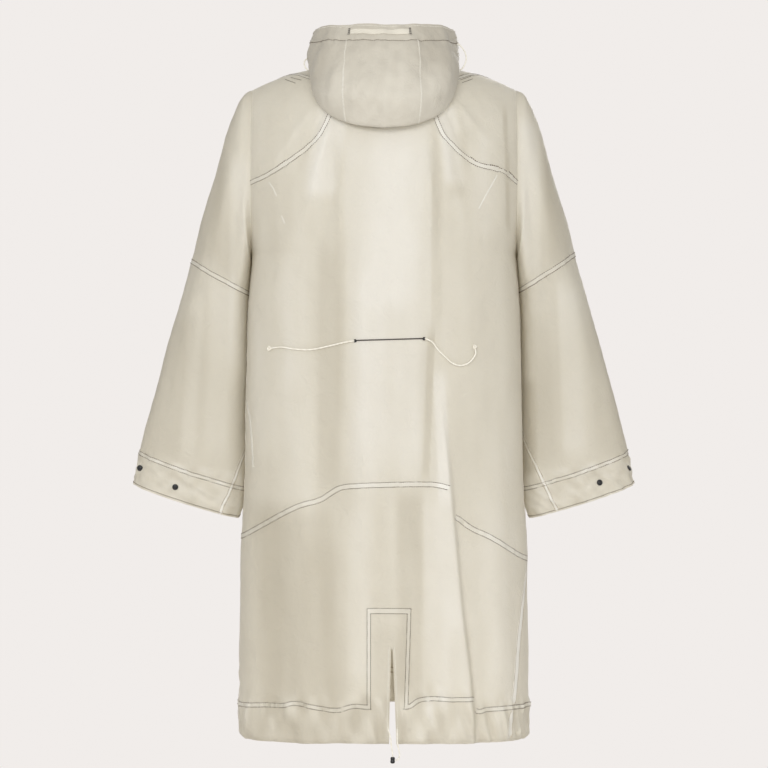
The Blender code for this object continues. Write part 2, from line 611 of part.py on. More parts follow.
def neck_front_depth():
    """Depth of the neckline at the edge of the placket."""
    angle = neck_front_angle()
    return -NECK_FRONT * float(oval_radius(np.array(angle), NECK_POWER)) * math.cos(angle)


def front_map(side):
    """Front panel: v 0 to 1 the top part, 1 to 2 the straight part, 2 to 3 to the hem band."""
    heights = front_heights(side)
    count = len(heights) - 1

    def surface(u, v):
        index = np.clip((v - 1.0) * count, 0, count)
        straight = np.interp(index, np.arange(count + 1), heights)
        last = np.full_like(u, VENT_TOP_Z)
        foot = hem_height(front_angle(side, u, np.full_like(u, -1.05))) + HEM_BAND_HEIGHT
        low = last + (foot - last) * np.clip(v - 2.0, 0.0, 1.0)
        z = np.where(v > 2.0, low, straight)
        return np.where((v < 1.0)[..., None], front_top(side, u, np.clip(v, 0.0, 1.0)),
                        front_body(side, u, z))
    return surface


def hem_front_map(side):
    """Hem band of one side of the front."""
    def surface(u, v):
        edge = hem_height(front_angle(side, u, np.full_like(u, -1.05)))
        return front_body(side, u, edge + HEM_BAND_HEIGHT * (1 - v))
    return surface


def placket_map(u, v):
    """Covered front placket from the neckline to the front hem."""
    top_x = PLACKET_HALF_WIDTH * (2 * u - 1)
    top_y = NECK_FRONT * (1 - (np.abs(top_x) / NECK_HALF_WIDTH) ** NECK_POWER) ** (1 / NECK_POWER)
    start = place_from_depth(top_x, top_y)
    low = place_from_height(top_x, np.full_like(u, HEM_Z + FRONT_HEM_RISE), True)
    place = start + (low - start) * v
    return drape(over_shoulder(top_x, place))


# ---- Sleeves ----
def sleeve_row(ring):
    """Eight values of the sleeve table at a ring number."""
    columns = []
    for i in range(8):
        rows = [(number, row[i]) for number, row in enumerate(SLEEVE)]
        columns.append(smooth_table(rows, ring))
    return columns


def sleeve_point(side, angle, ring):
    """Point of the sleeve: angle 0 at its outer edge, 90 degrees behind, 180 at the inner edge."""
    angle, ring = np.broadcast_arrays(np.asarray(angle, float), np.asarray(ring, float))
    outer_x, outer_z, inner_x, inner_z, behind, before, bow, forward = sleeve_row(ring)
    radius = oval_radius(angle, SLEEVE_POWER)
    along = radius * np.cos(angle)
    x = (outer_x + inner_x) / 2 + (outer_x - inner_x) / 2 * along
    z = (outer_z + inner_z) / 2 + (outer_z - inner_z) / 2 * along
    back = np.sin(angle) > 0
    sideways = radius * np.sin(angle)
    y = forward - np.where(back, behind, before) * sideways
    # The first rings take the section of the armhole.
    armhole_z = np.clip(z, ARMPIT_Z + 1e-6, ridge_height(np.full_like(z, ARMHOLE_X)) - 1e-6)
    armhole_x = np.full_like(z, ARMHOLE_X)
    level = np.clip((armhole_z - ridge_height(armhole_x) + SHOULDER_ROUND) / SHOULDER_ROUND, 0, 1)
    rounding = (1 - level ** SHOULDER_POWER) ** (1 / SHOULDER_POWER)
    hole_y = np.where(back, -1, 1) * depth_at(armhole_x, armhole_z, ~back) * rounding
    blend = ease(ring / 2.5)
    y = hole_y + (y - hole_y) * blend
    z = z - bow * np.abs(np.sin(angle))
    return np.stack([side * x, y, z], axis=-1)


def sleeve_map(side, start, end):
    """Part of a sleeve between two rings; u runs once round."""
    def surface(u, v):
        return sleeve_point(side, 2 * math.pi * u, start + (end - start) * v)
    return surface


# ---- Hood ----
def hood_control(station):
    """Control points of the hood's profile at a station from -1 to 1 (0 at the back)."""
    side = np.where(station < 0, -1.0, 1.0)
    key = np.abs(station)
    values = [smooth_table(HOOD, key, i) for i in range(1, 13)]
    rings = []
    for i in range(4):
        rings.append(np.stack([side * values[3 * i], values[3 * i + 1], values[3 * i + 2]], axis=-1))
    angle = key * math.radians(178.6)
    neck = neck_place(angle)
    start_x = np.maximum(neck[..., 0], 0.003)
    end_x, end_y, end_z = np.abs(rings[0][..., 0]), rings[0][..., 1], rings[0][..., 2]
    behind = place_from_height(end_x, end_z, False)
    above = place_from_depth(end_x, np.clip(end_y, -0.12, 0.120))
    end_place = behind + (above - behind) * ease((key - 0.40) / 0.15)
    under = []
    for share in (0.0, 0.34, 0.67):
        x = start_x + (end_x - start_x) * share
        place = neck[..., 1] + (end_place - neck[..., 1]) * share
        point = over_shoulder(x, place)
        along_x = over_shoulder(x + 1e-4, place) - over_shoulder(x - 1e-4, place)
        along_y = over_shoulder(x, place + 1e-4) - over_shoulder(x, place - 1e-4)
        normal = np.cross(along_x, along_y)
        normal = normal / np.linalg.norm(normal, axis=-1, keepdims=True)
        point = point + normal * (HOOD_UNDER_LIFT + HOOD_UNDER_RISE * share)
        if share == 0.0:
            base = point
        # At the front the collar rises straight from the neckline.
        ring = np.stack([end_x, end_y, end_z], axis=-1)
        straight = base + (ring - base) * share
        front = ease((key - 0.58) / 0.16)[..., None]
        point = point + (straight - point) * front
        under.append(np.stack([side * point[..., 0], point[..., 1], point[..., 2]], axis=-1))
    return under + rings


def hood_point(station, level):
    """Point of the hood at a station and a level from the neckline (0) to the brim (1)."""
    station, level = np.broadcast_arrays(np.asarray(station, float), np.asarray(level, float))
    points = hood_control(station)
    keys = HOOD_LEVELS
    index = np.clip(np.searchsorted(keys, level, side="right") - 1, 0, len(keys) - 2)
    result = np.zeros(station.shape + (3,))
    for i in range(len(keys) - 1):
        step = keys[i + 1] - keys[i]
        part = np.clip((level - keys[i]) / step, 0.0, 1.0)[..., None]
        before = points[max(i - 1, 0)]
        after = points[min(i + 2, len(points) - 1)]
        slope_low = (points[i + 1] - before) / (keys[i + 1] - keys[max(i - 1, 0)]) * step
        slope_high = (after - points[i]) / (keys[min(i + 2, len(keys) - 1)] - keys[i]) * step
        square, cube = part ** 2, part ** 3
        value = ((2 * cube - 3 * square + 1) * points[i] + (cube - 2 * square + part) * slope_low
                 + (3 * square - 2 * cube) * points[i + 1] + (cube - square) * slope_high)
        result = np.where((index == i)[..., None], value, result)
    return result


# ---- Closed thin solids from maps ----
def map_normals(surface, u, v):
    """Unit normals of a map by small steps both ways."""
    step = 1e-4
    along_u = surface(u + step, v) - surface(u - step, v)
    along_v = surface(u, v + step) - surface(u, v - step)
    normal = np.cross(along_u, along_v)
    return normal / np.maximum(np.linalg.norm(normal, axis=-1, keepdims=True), 1e-12)


def inner_normals(surface, us, vs, flip):
    """Normals at the grid's points, taken just inside its edges."""
    tiny = 3e-4
    u_in = np.clip(us, us[0] + (us[-1] - us[0]) * tiny, us[-1] - (us[-1] - us[0]) * tiny)
    v_in = np.clip(vs, vs[0] + (vs[-1] - vs[0]) * tiny, vs[-1] - (vs[-1] - vs[0]) * tiny)
    u, v = np.meshgrid(u_in, v_in)
    normal = map_normals(surface, u, v)
    return -normal if flip else normal


def inset_edges(points, keep, wrap):
    """Grid points with every open edge drawn in by half a seam gap."""
    rows, columns = keep.shape
    moves = {}
    for i in range(rows):
        for j in range(columns):
            if not keep[i, j]:
                continue
            right = (j + 1) % points.shape[1] if wrap else j + 1
            left_open = not wrap and (j == 0 or not keep[i, j - 1])
            right_open = not wrap and (j == columns - 1 or not keep[i, j + 1])
            edges = ((i == 0 or not keep[i - 1, j], ((i, j), (i, right)), (1, 0)),
                     (i == rows - 1 or not keep[i + 1, j], ((i + 1, j), (i + 1, right)), (-1, 0)),
                     (left_open, ((i, j), (i + 1, j)), (0, 1)),
                     (right_open, ((i, right), (i + 1, right)), (0, -1)))
            for is_open, corners, move in edges:
                if is_open:
                    for corner in corners:
                        moves.setdefault(corner, set()).add(move)
    result = points.copy()
    for (i, j), directions in moves.items():
        for di, dj in directions:
            towards = points[i + di, (j + dj) % points.shape[1]] - points[i, j]
            length = np.linalg.norm(towards)
            if length > 1e-9:
                result[i, j] += towards / length * HALF_SEAM_GAP
    return result


def add_material(obj, name, color, roughness, metallic=0.0):
    """Give an object a plain material of its own."""
    material = bpy.data.materials.new(name)
    material.use_nodes = True
    shader = material.node_tree.nodes["Principled BSDF"]
    shader.inputs["Base Color"].default_value = (*color, 1.0)
    shader.inputs["Roughness"].default_value = roughness
    shader.inputs["Metallic"].default_value = metallic
    obj.data.materials.append(material)


def link_mesh(name, mesh_builder, color, roughness):
    """Turn a finished bmesh into a named object."""
    bmesh.ops.recalc_face_normals(mesh_builder, faces=mesh_builder.faces)
    mesh = bpy.data.meshes.new(name)
    mesh_builder.to_mesh(mesh)
    mesh_builder.free()
    obj = bpy.data.objects.new(name, mesh)
    bpy.context.scene.collection.objects.link(obj)
    add_material(obj, name, color, roughness)
    return obj


CLOTH = (0.86, 0.84, 0.77)
CLOTH_ROUGHNESS = 0.62
DARK = (0.02, 0.02, 0.022)
CORD = (0.88, 0.85, 0.76)


def cloth_solid(name, surface, us, vs, keep=None, wrap=False, flip=False, wall=WALL, lift=0.0,
                root_side=0, color=CLOTH):
    """Closed thin solid on a map's grid. Its outer face is on the map, its inner a wall inside.

    keep marks the grid's cells that exist, wrap closes the columns into a ring, flip turns the
    outside over, lift moves the piece outwards, and root_side keeps a sleeve's first edge from
    leaning back over the armhole.
    """
    columns = us[:-1] if wrap else us
    u, v = np.meshgrid(columns, vs)
    outer = surface(u, v)
    normals = inner_normals(surface, us, vs, flip)[:, :len(columns)]
    if root_side:
        lean = normals[0, :, 0] * root_side
        normals[0, :, 0] = np.where(lean > 0, 0.0, normals[0, :, 0])
        normals[0] /= np.linalg.norm(normals[0], axis=-1, keepdims=True)
    cells = (len(vs) - 1, len(us) - 1)
    keep = np.ones(cells, dtype=bool) if keep is None else keep
    outer = inset_edges(outer, keep, wrap) + normals * lift
    inner = outer - normals * wall
    builder = bmesh.new()
    used = {}

    def corner(i, j, layer):
        j = j % len(columns)
        if (i, j, layer) not in used:
            source = outer if layer == 0 else inner
            used[(i, j, layer)] = builder.verts.new(source[i, j])
        return used[(i, j, layer)]

    def face(*corners):
        builder.faces.new([corner(*item) for item in corners])

    for i in range(cells[0]):
        for j in range(cells[1]):
            if not keep[i, j]:
                continue
            face((i, j, 0), (i, j + 1, 0), (i + 1, j + 1, 0), (i + 1, j, 0))
            face((i + 1, j, 1), (i + 1, j + 1, 1), (i, j + 1, 1), (i, j, 1))
            if i == 0 or not keep[i - 1, j]:
                face((i, j + 1, 0), (i, j, 0), (i, j, 1), (i, j + 1, 1))
            if i == cells[0] - 1 or not keep[i + 1, j]:
                face((i + 1, j, 0), (i + 1, j + 1, 0), (i + 1, j + 1, 1), (i + 1, j, 1))
            if not wrap and (j == 0 or not keep[i, j - 1]):
                face((i, j, 0), (i + 1, j, 0), (i + 1, j, 1), (i, j, 1))
            if not wrap and (j == cells[1] - 1 or not keep[i, j + 1]):
                face((i + 1, j + 1, 0), (i, j + 1, 0), (i, j + 1, 1), (i + 1, j + 1, 1))
    bmesh.ops.triangulate(builder, faces=builder.faces, quad_method="SHORT_EDGE")
    return link_mesh(name, builder, color, CLOTH_ROUGHNESS)


# ---- Pieces of the body ----
SEAM_PARTS = 8


def build_back():
    """Upper back, lower back, hem bands and the vent panel with its slit."""
    straight = len(BACK_UPPER_HEIGHTS) - 1
    cloth_solid("back_upper", back_upper_map, BACK_COLUMNS,
                steps((0.0, 1.0, SEAM_PARTS), (1.0, 2.0, straight), (2.0, 3.0, ROWS_TO_SEAM)),
                flip=True)
    vent = (BACK_COLUMNS[:-1] > 0.359) & (BACK_COLUMNS[:-1] < 0.459)
    rows = steps((0.0, 1.0, ROWS_TO_VENT), (1.0, 2.0, ROWS_TO_BAND))
    keep = np.ones((len(rows) - 1, len(BACK_COLUMNS) - 1), dtype=bool)
    keep[rows[:-1] > 0.99] = ~vent
    cloth_solid("back_lower", back_lower_map, BACK_COLUMNS, rows, keep=keep, flip=True)
    left_end = int(np.argmax(vent)) + 1
    right_start = left_end - 1 + int(vent.sum())
    band_rows = steps((0.0, 1.0, 2))
    cloth_solid("hem_band_back_left", hem_back_map, BACK_COLUMNS[:left_end], band_rows,
                flip=True)
    cloth_solid("hem_band_back_right", hem_back_map, BACK_COLUMNS[right_start:], band_rows,
                flip=True)
    apex = (SLIT_APEX_Z - VENT_TOP_Z) / (HEM_Z - VENT_TOP_Z)
    columns = steps((0.0, 1.0, 2), (1.0, 2.0, 1), (2.0, 3.0, 2))
    rows = steps((0.0, apex, 2), (apex, 1.0, 5))
    keep = np.ones((len(rows) - 1, len(columns) - 1), dtype=bool)
    keep[2:, 2] = False
    cloth_solid("vent_panel", vent_map, columns, rows, keep=keep, flip=True)


def build_front():
    """Both fronts with their hem bands, and the covered placket between them."""
    columns = steps((0.0, 1.0, 10))
    for side, name in ((-1, "left"), (1, "right")):
        straight = len(front_heights(side)) - 1
        rows = steps((0.0, FRONT_SEAM_SHARE, SEAM_PARTS), (FRONT_SEAM_SHARE, 1.0, 2),
                     (1.0, 2.0, straight), (2.0, 3.0, ROWS_TO_BAND))
        flip = side < 0
        cloth_solid("front_" + name, front_map(side), columns, rows, flip=flip)
        cloth_solid("hem_band_front_" + name, hem_front_map(side), columns, steps((0.0, 1.0, 2)),
                    flip=flip)
    cloth_solid("front_placket", placket_map, steps((0.0, 1.0, 2)), steps((0.0, 1.0, 26)))


def build_yokes():
    """Shoulder yokes."""
    for side, name in ((-1, "left"), (1, "right")):
        cloth_solid("yoke_" + name, yoke_map(side), steps((0.0, 1.0, SEAM_PARTS)),
                    steps((0.0, 1.0, 8)), flip=side < 0)


def build_sleeves():
    """Upper sleeve, lower sleeve and cuff on both sides."""
    round_columns = steps((0.0, 1.0, 24))
    for side, name in ((-1, "left"), (1, "right")):
        elbow = ELBOW_RING[side]
        flip = side < 0
        cloth_solid("sleeve_upper_" + name, sleeve_map(side, 0.0, elbow), round_columns,
                    steps((0.0, 1.0, 9)), wrap=True, flip=flip, root_side=side)
        cloth_solid("sleeve_lower_" + name, sleeve_map(side, elbow, CUFF_RING), round_columns,
                    steps((0.0, 1.0, 7)), wrap=True, flip=flip)
        cloth_solid("cuff_" + name, sleeve_map(side, CUFF_RING, END_RING), round_columns,
                    steps((0.0, 1.0, 2)), wrap=True, flip=flip)


HOOD_COLUMNS = steps((-1.0, HOOD_SEAM_LEFT, 12), (HOOD_SEAM_LEFT, HOOD_SEAM_RIGHT, 8),
                     (HOOD_SEAM_RIGHT, 1.0, 12))
STRAP_ENDS = (-0.146, 0.110)
STRAP_LEVELS = (0.930, 0.965)


def build_hood():
    """Hood panels from the neckline to the brim band, the band itself and its strap."""
    bottom = HOOD_LEVELS[3]
    levels = steps((0.0, bottom, 4), (bottom, HOOD_BAND_LEVEL, 6))
    panels = (("hood_side_left", HOOD_COLUMNS[:13]), ("hood_center", HOOD_COLUMNS[12:21]),
              ("hood_side_right", HOOD_COLUMNS[20:]))
    for name, columns in panels:
        cloth_solid(name, hood_point, columns, levels)
    cloth_solid("hood_edge_band", hood_point, HOOD_COLUMNS,
                np.array([HOOD_BAND_LEVEL, *STRAP_LEVELS, 1.0]))
    inside = HOOD_COLUMNS[(HOOD_COLUMNS > STRAP_ENDS[0]) & (HOOD_COLUMNS < STRAP_ENDS[1])]
    cloth_solid("hood_strap", hood_point, np.array([STRAP_ENDS[0], *inside, STRAP_ENDS[1]]),
                np.array(STRAP_LEVELS), wall=TAPE, lift=LIFT + TAPE, color=CORD)


# ---- Trim ----
def body_back_point(x, z, out):
    """Point in front of the back's outer face at x and z, a distance out from it."""
    point = drape(over_shoulder(np.array([x]), place_from_height(np.array([x]), np.array([z]), False)))
    return (float(x), float(point[0, 1]) - out, float(z))


def cord(name, route, diameter):
    """Free cord: a tube on a smooth curve through hand-chosen points."""
    data = np.array(route)
    length = np.sum(np.linalg.norm(np.diff(data, axis=0), axis=1))
    count = max(4, int(round(length / (diameter * 2.7))) + 1)
    points = along_points(route, np.linspace(0.0, 1.0, count))
    curve = bpy.data.curves.new(name, "CURVE")
    curve.dimensions = "3D"
    spline = curve.splines.new("POLY")
    spline.points.add(count - 1)
    for target, point in zip(spline.points, points):
        target.co = (*point, 1.0)
    curve.bevel_depth = diameter / 2
    curve.bevel_resolution = 2
    curve.use_fill_caps = True
    obj = bpy.data.objects.new(name, curve)
    bpy.context.scene.collection.objects.link(obj)
    add_material(obj, name, CORD, 0.7)


def build_cords():
    """Waist, hood and hem cords at their real length."""
    out = CORD_DIAMETER / 2 + 6 * LIFT
    cord("waist_cord_left", [body_back_point(x, z, out) for x, z in WAIST_CORD_LEFT], CORD_DIAMETER)
    cord("waist_cord_right", [body_back_point(x, z, out) for x, z in WAIST_CORD_RIGHT], CORD_DIAMETER)
    cord("hood_cord_left", HOOD_CORD_LEFT, FINE_CORD_DIAMETER)
    cord("hood_cord_right", HOOD_CORD_RIGHT, FINE_CORD_DIAMETER)
    cord("hem_cord_left", HEM_CORD_LEFT, FINE_CORD_DIAMETER)
    cord("hem_cord_right", HEM_CORD_RIGHT, FINE_CORD_DIAMETER)


def disc(name, centre, axis, diameter, height, color):
    """Short round piece with its foot at the centre and its axis along the given direction."""
    builder = bmesh.new()
    bmesh.ops.create_cone(builder, cap_ends=True, segments=16, radius1=diameter / 2,
                          radius2=diameter / 2 * 0.86, depth=height)
    bmesh.ops.translate(builder, verts=builder.verts, vec=(0.0, 0.0, height / 2))
    obj = link_mesh(name, builder, color, 0.35)
    direction = np.asarray(axis) / np.linalg.norm(axis)
    obj.location = tuple(np.asarray(centre) + direction * LIFT)
    obj.rotation_mode = "QUATERNION"
    obj.rotation_quaternion = to_quaternion(direction)


def to_quaternion(direction):
    """Turn that takes +Z to a unit direction."""
    x, y, z = direction
    turn = np.array([1.0 + z, -y, x, 0.0])
    return tuple(turn / np.linalg.norm(turn))


def build_trim():
    """Cuff snaps, the strip of the waist cord's exits and the hem toggle."""
    for name, side, ring, degrees in SNAPS:
        angle = math.radians(degrees)
        step = 0.02
        centre = sleeve_point(side, angle, ring)
        along = sleeve_point(side, angle + step, ring) - sleeve_point(side, angle - step, ring)
        down = sleeve_point(side, angle, ring + step) - sleeve_point(side, angle, ring - step)
        normal = np.cross(along, down)
        normal = normal if normal[1] < 0 else -normal
        disc("cuff_snap_" + name, centre, normal, SNAP_DIAMETER, SNAP_HEIGHT, DARK)

    def slot(u, v):
        (left_x, left_z), (right_x, right_z) = WAIST_SLOT
        x = left_x + (right_x - left_x) * u
        z = left_z + (right_z - left_z) * u - WAIST_SLOT_HEIGHT * v
        return drape(over_shoulder(x, place_from_height(x, z, False)))
    cloth_solid("waist_slot", slot, steps((0.0, 1.0, 8)), steps((0.0, 1.0, 1)), flip=True,
                wall=TAPE, lift=3 * LIFT + TAPE, color=DARK)
    disc("hem_toggle", TOGGLE_TOP, TOGGLE_AXIS, TOGGLE_DIAMETER, TOGGLE_LENGTH, DARK)


def main():
    """Clear the scene and build every piece."""
    for obj in list(bpy.data.objects):
        bpy.data.objects.remove(obj, do_unlink=True)
    build_back()
    build_front()
    build_yokes()
    build_sleeves()
    build_hood()
    build_cords()
    build_trim()


main()
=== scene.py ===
"""Looks of a long hooded parka that hangs filled out, seen from the back.

Every cut piece is a thin shell worked out on the form of its solid, with finer folds and
puckers added. Felled seams, threads, cords and fastenings lie on the same form. Metres, +Z up,
+Y towards the garment's front, origin at the base of the neck.
"""

import logging
import math
from collections.abc import Callable, Sequence
from dataclasses import dataclass, field
from enum import Enum

import bpy
import numpy as np
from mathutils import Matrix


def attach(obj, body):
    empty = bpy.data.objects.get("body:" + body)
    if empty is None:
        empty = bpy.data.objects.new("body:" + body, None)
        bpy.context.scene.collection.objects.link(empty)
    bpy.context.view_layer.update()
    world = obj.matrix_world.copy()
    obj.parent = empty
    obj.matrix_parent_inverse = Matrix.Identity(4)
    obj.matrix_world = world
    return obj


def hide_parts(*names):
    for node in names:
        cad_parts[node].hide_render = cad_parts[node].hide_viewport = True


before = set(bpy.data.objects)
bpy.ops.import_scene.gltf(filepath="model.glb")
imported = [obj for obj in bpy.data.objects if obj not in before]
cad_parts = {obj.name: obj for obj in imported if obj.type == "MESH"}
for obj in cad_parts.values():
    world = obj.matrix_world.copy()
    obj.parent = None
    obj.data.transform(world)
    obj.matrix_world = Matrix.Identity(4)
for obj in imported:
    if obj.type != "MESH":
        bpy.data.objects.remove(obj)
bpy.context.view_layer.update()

Array = np.ndarray
Surface = Callable[[Array, Array], Array]
Rows = Sequence[Sequence[float]]
Tone = tuple[float, float, float]
log = logging.getLogger("parka")

CLOTH_WALL = 0.0006
# name of the mesh attribute that holds painted light and shade, read by the cloth's base colour
PAINTED_LIGHT_NAME = "PaintedLight"
RIGHT_ANGLE = math.pi / 2


# ---------------------------------------------------------------- numeric helpers
def cubic(part: Array) -> tuple[Array, Array, Array, Array]:
    """Weights of the low value, its slope, the high value and its slope at a share of a step."""
    square = part * part
    cube = square * part
    return (2 * cube - 3 * square + 1, cube - 2 * square + part,
            3 * square - 2 * cube, cube - square)


def smooth_table(rows: Rows, value: Array | float, column: int = 1) -> Array:
    """Read one column of a table on a smooth curve (cubic between rows, mean slopes at rows).

    Args:
        rows: Table rows, each starting with its key.
        value: Keys to read at.
        column: Column to read.

    Returns:
        Values of the column, with the shape of value.
    """
    data = np.array(rows, dtype=float)
    data = data[np.argsort(data[:, 0], kind="stable")]
    keys, values = data[:, 0], data[:, column]
    value = np.asarray(value, dtype=float)
    low = np.clip(np.searchsorted(keys, value) - 1, 0, len(keys) - 2)
    slopes = np.gradient(values, keys)
    step = keys[low + 1] - keys[low]
    start, leave, end, reach = cubic(np.clip((value - keys[low]) / step, 0.0, 1.0))
    return (start * values[low] + leave * step * slopes[low]
            + end * values[low + 1] + reach * step * slopes[low + 1])


def ease(value: Array | float) -> Array:
    """Smooth step from 0 to 1: three squares minus two cubes."""
    part = np.clip(value, 0.0, 1.0)
    return part * part * (3 - 2 * part)


def oval_radius(angle: Array, power: float) -> Array:
    """Radius of the unit superellipse in a direction: (|sin|^p + |cos|^p)^(-1/p)."""
    return (np.abs(np.sin(angle)) ** power + np.abs(np.cos(angle)) ** power) ** (-1.0 / power)


def oval_angle(share: Array, power: float) -> Array:
    """Direction in which the unit superellipse has the given share across."""
    part = np.clip(share, 0.0, 1 - 1e-12) ** power
    return np.arctan((part / (1 - part)) ** (1 / power))


def steps(*runs: tuple[float, float, int]) -> Array:
    """Values along joined runs.

    Args:
        runs: Each run's start, end and number of steps.

    Returns:
        All values in order, with shared ends written once.
    """
    values = [runs[0][0]]
    for start, end, count in runs:
        values.extend(start + (end - start) * (i + 1) / count for i in range(count))
    return np.array(values)


def band_light(rows: Rows, x: Array, y: Array, z: Array) -> Array:
    """Sum of soft bands along slanted lines: amount times exp(-(distance / reach)^6).

    Args:
        rows: Top x, top z, foot x, foot z, reach left, reach right, amount and side of each.
        x, y, z: Places; a band lies only where y has the sign of its side.

    Returns:
        The sum at each place.
    """
    total = np.zeros_like(x)
    for top_x, top_z, foot_x, foot_z, left, right, amount, side in rows:
        down = (top_z - z) / (top_z - foot_z)
        off = x - (top_x + (foot_x - top_x) * np.clip(down, 0.0, 1.0))
        reach = np.where(off < 0, left, right)
        fade = ease(down / 0.14) * ease((1.0 - down) / 0.16)
        total += np.where(y * side > 0, amount * np.exp(-(off / reach) ** 6) * fade, 0.0)
    return total


def unit(vectors: Array) -> Array:
    """Vectors scaled to length one."""
    return vectors / np.maximum(np.linalg.norm(vectors, axis=-1, keepdims=True), 1e-12)


def slopes_of(surface: Surface, a: Array, b: Array, step: float = 1e-4) -> tuple[Array, Array]:
    """Changes of a surface per unit of each parameter, by central differences."""
    along_a = (surface(a + step, b) - surface(a - step, b)) / (2 * step)
    along_b = (surface(a, b + step) - surface(a, b - step)) / (2 * step)
    return along_a, along_b


@dataclass(frozen=True)
class Ripple:
    """Uneven waves: a sum of sines in fixed, unlike directions and lengths."""

    seed: int
    length: float
    count: int = 7

    def __call__(self, *axes: Array) -> Array:
        """Wave height, about -1 to 1, at points given by their coordinates in metres."""
        maker = np.random.default_rng(self.seed)
        total = np.zeros_like(axes[0])
        for _ in range(self.count):
            turn = maker.normal(size=len(axes))
            turn *= maker.uniform(0.7, 1.5) / np.linalg.norm(turn)
            phase = maker.uniform(0, 2 * math.pi)
            total += np.sin(2 * math.pi / self.length
                            * sum(k * axis for k, axis in zip(turn, axes)) + phase)
        return total / math.sqrt(self.count)


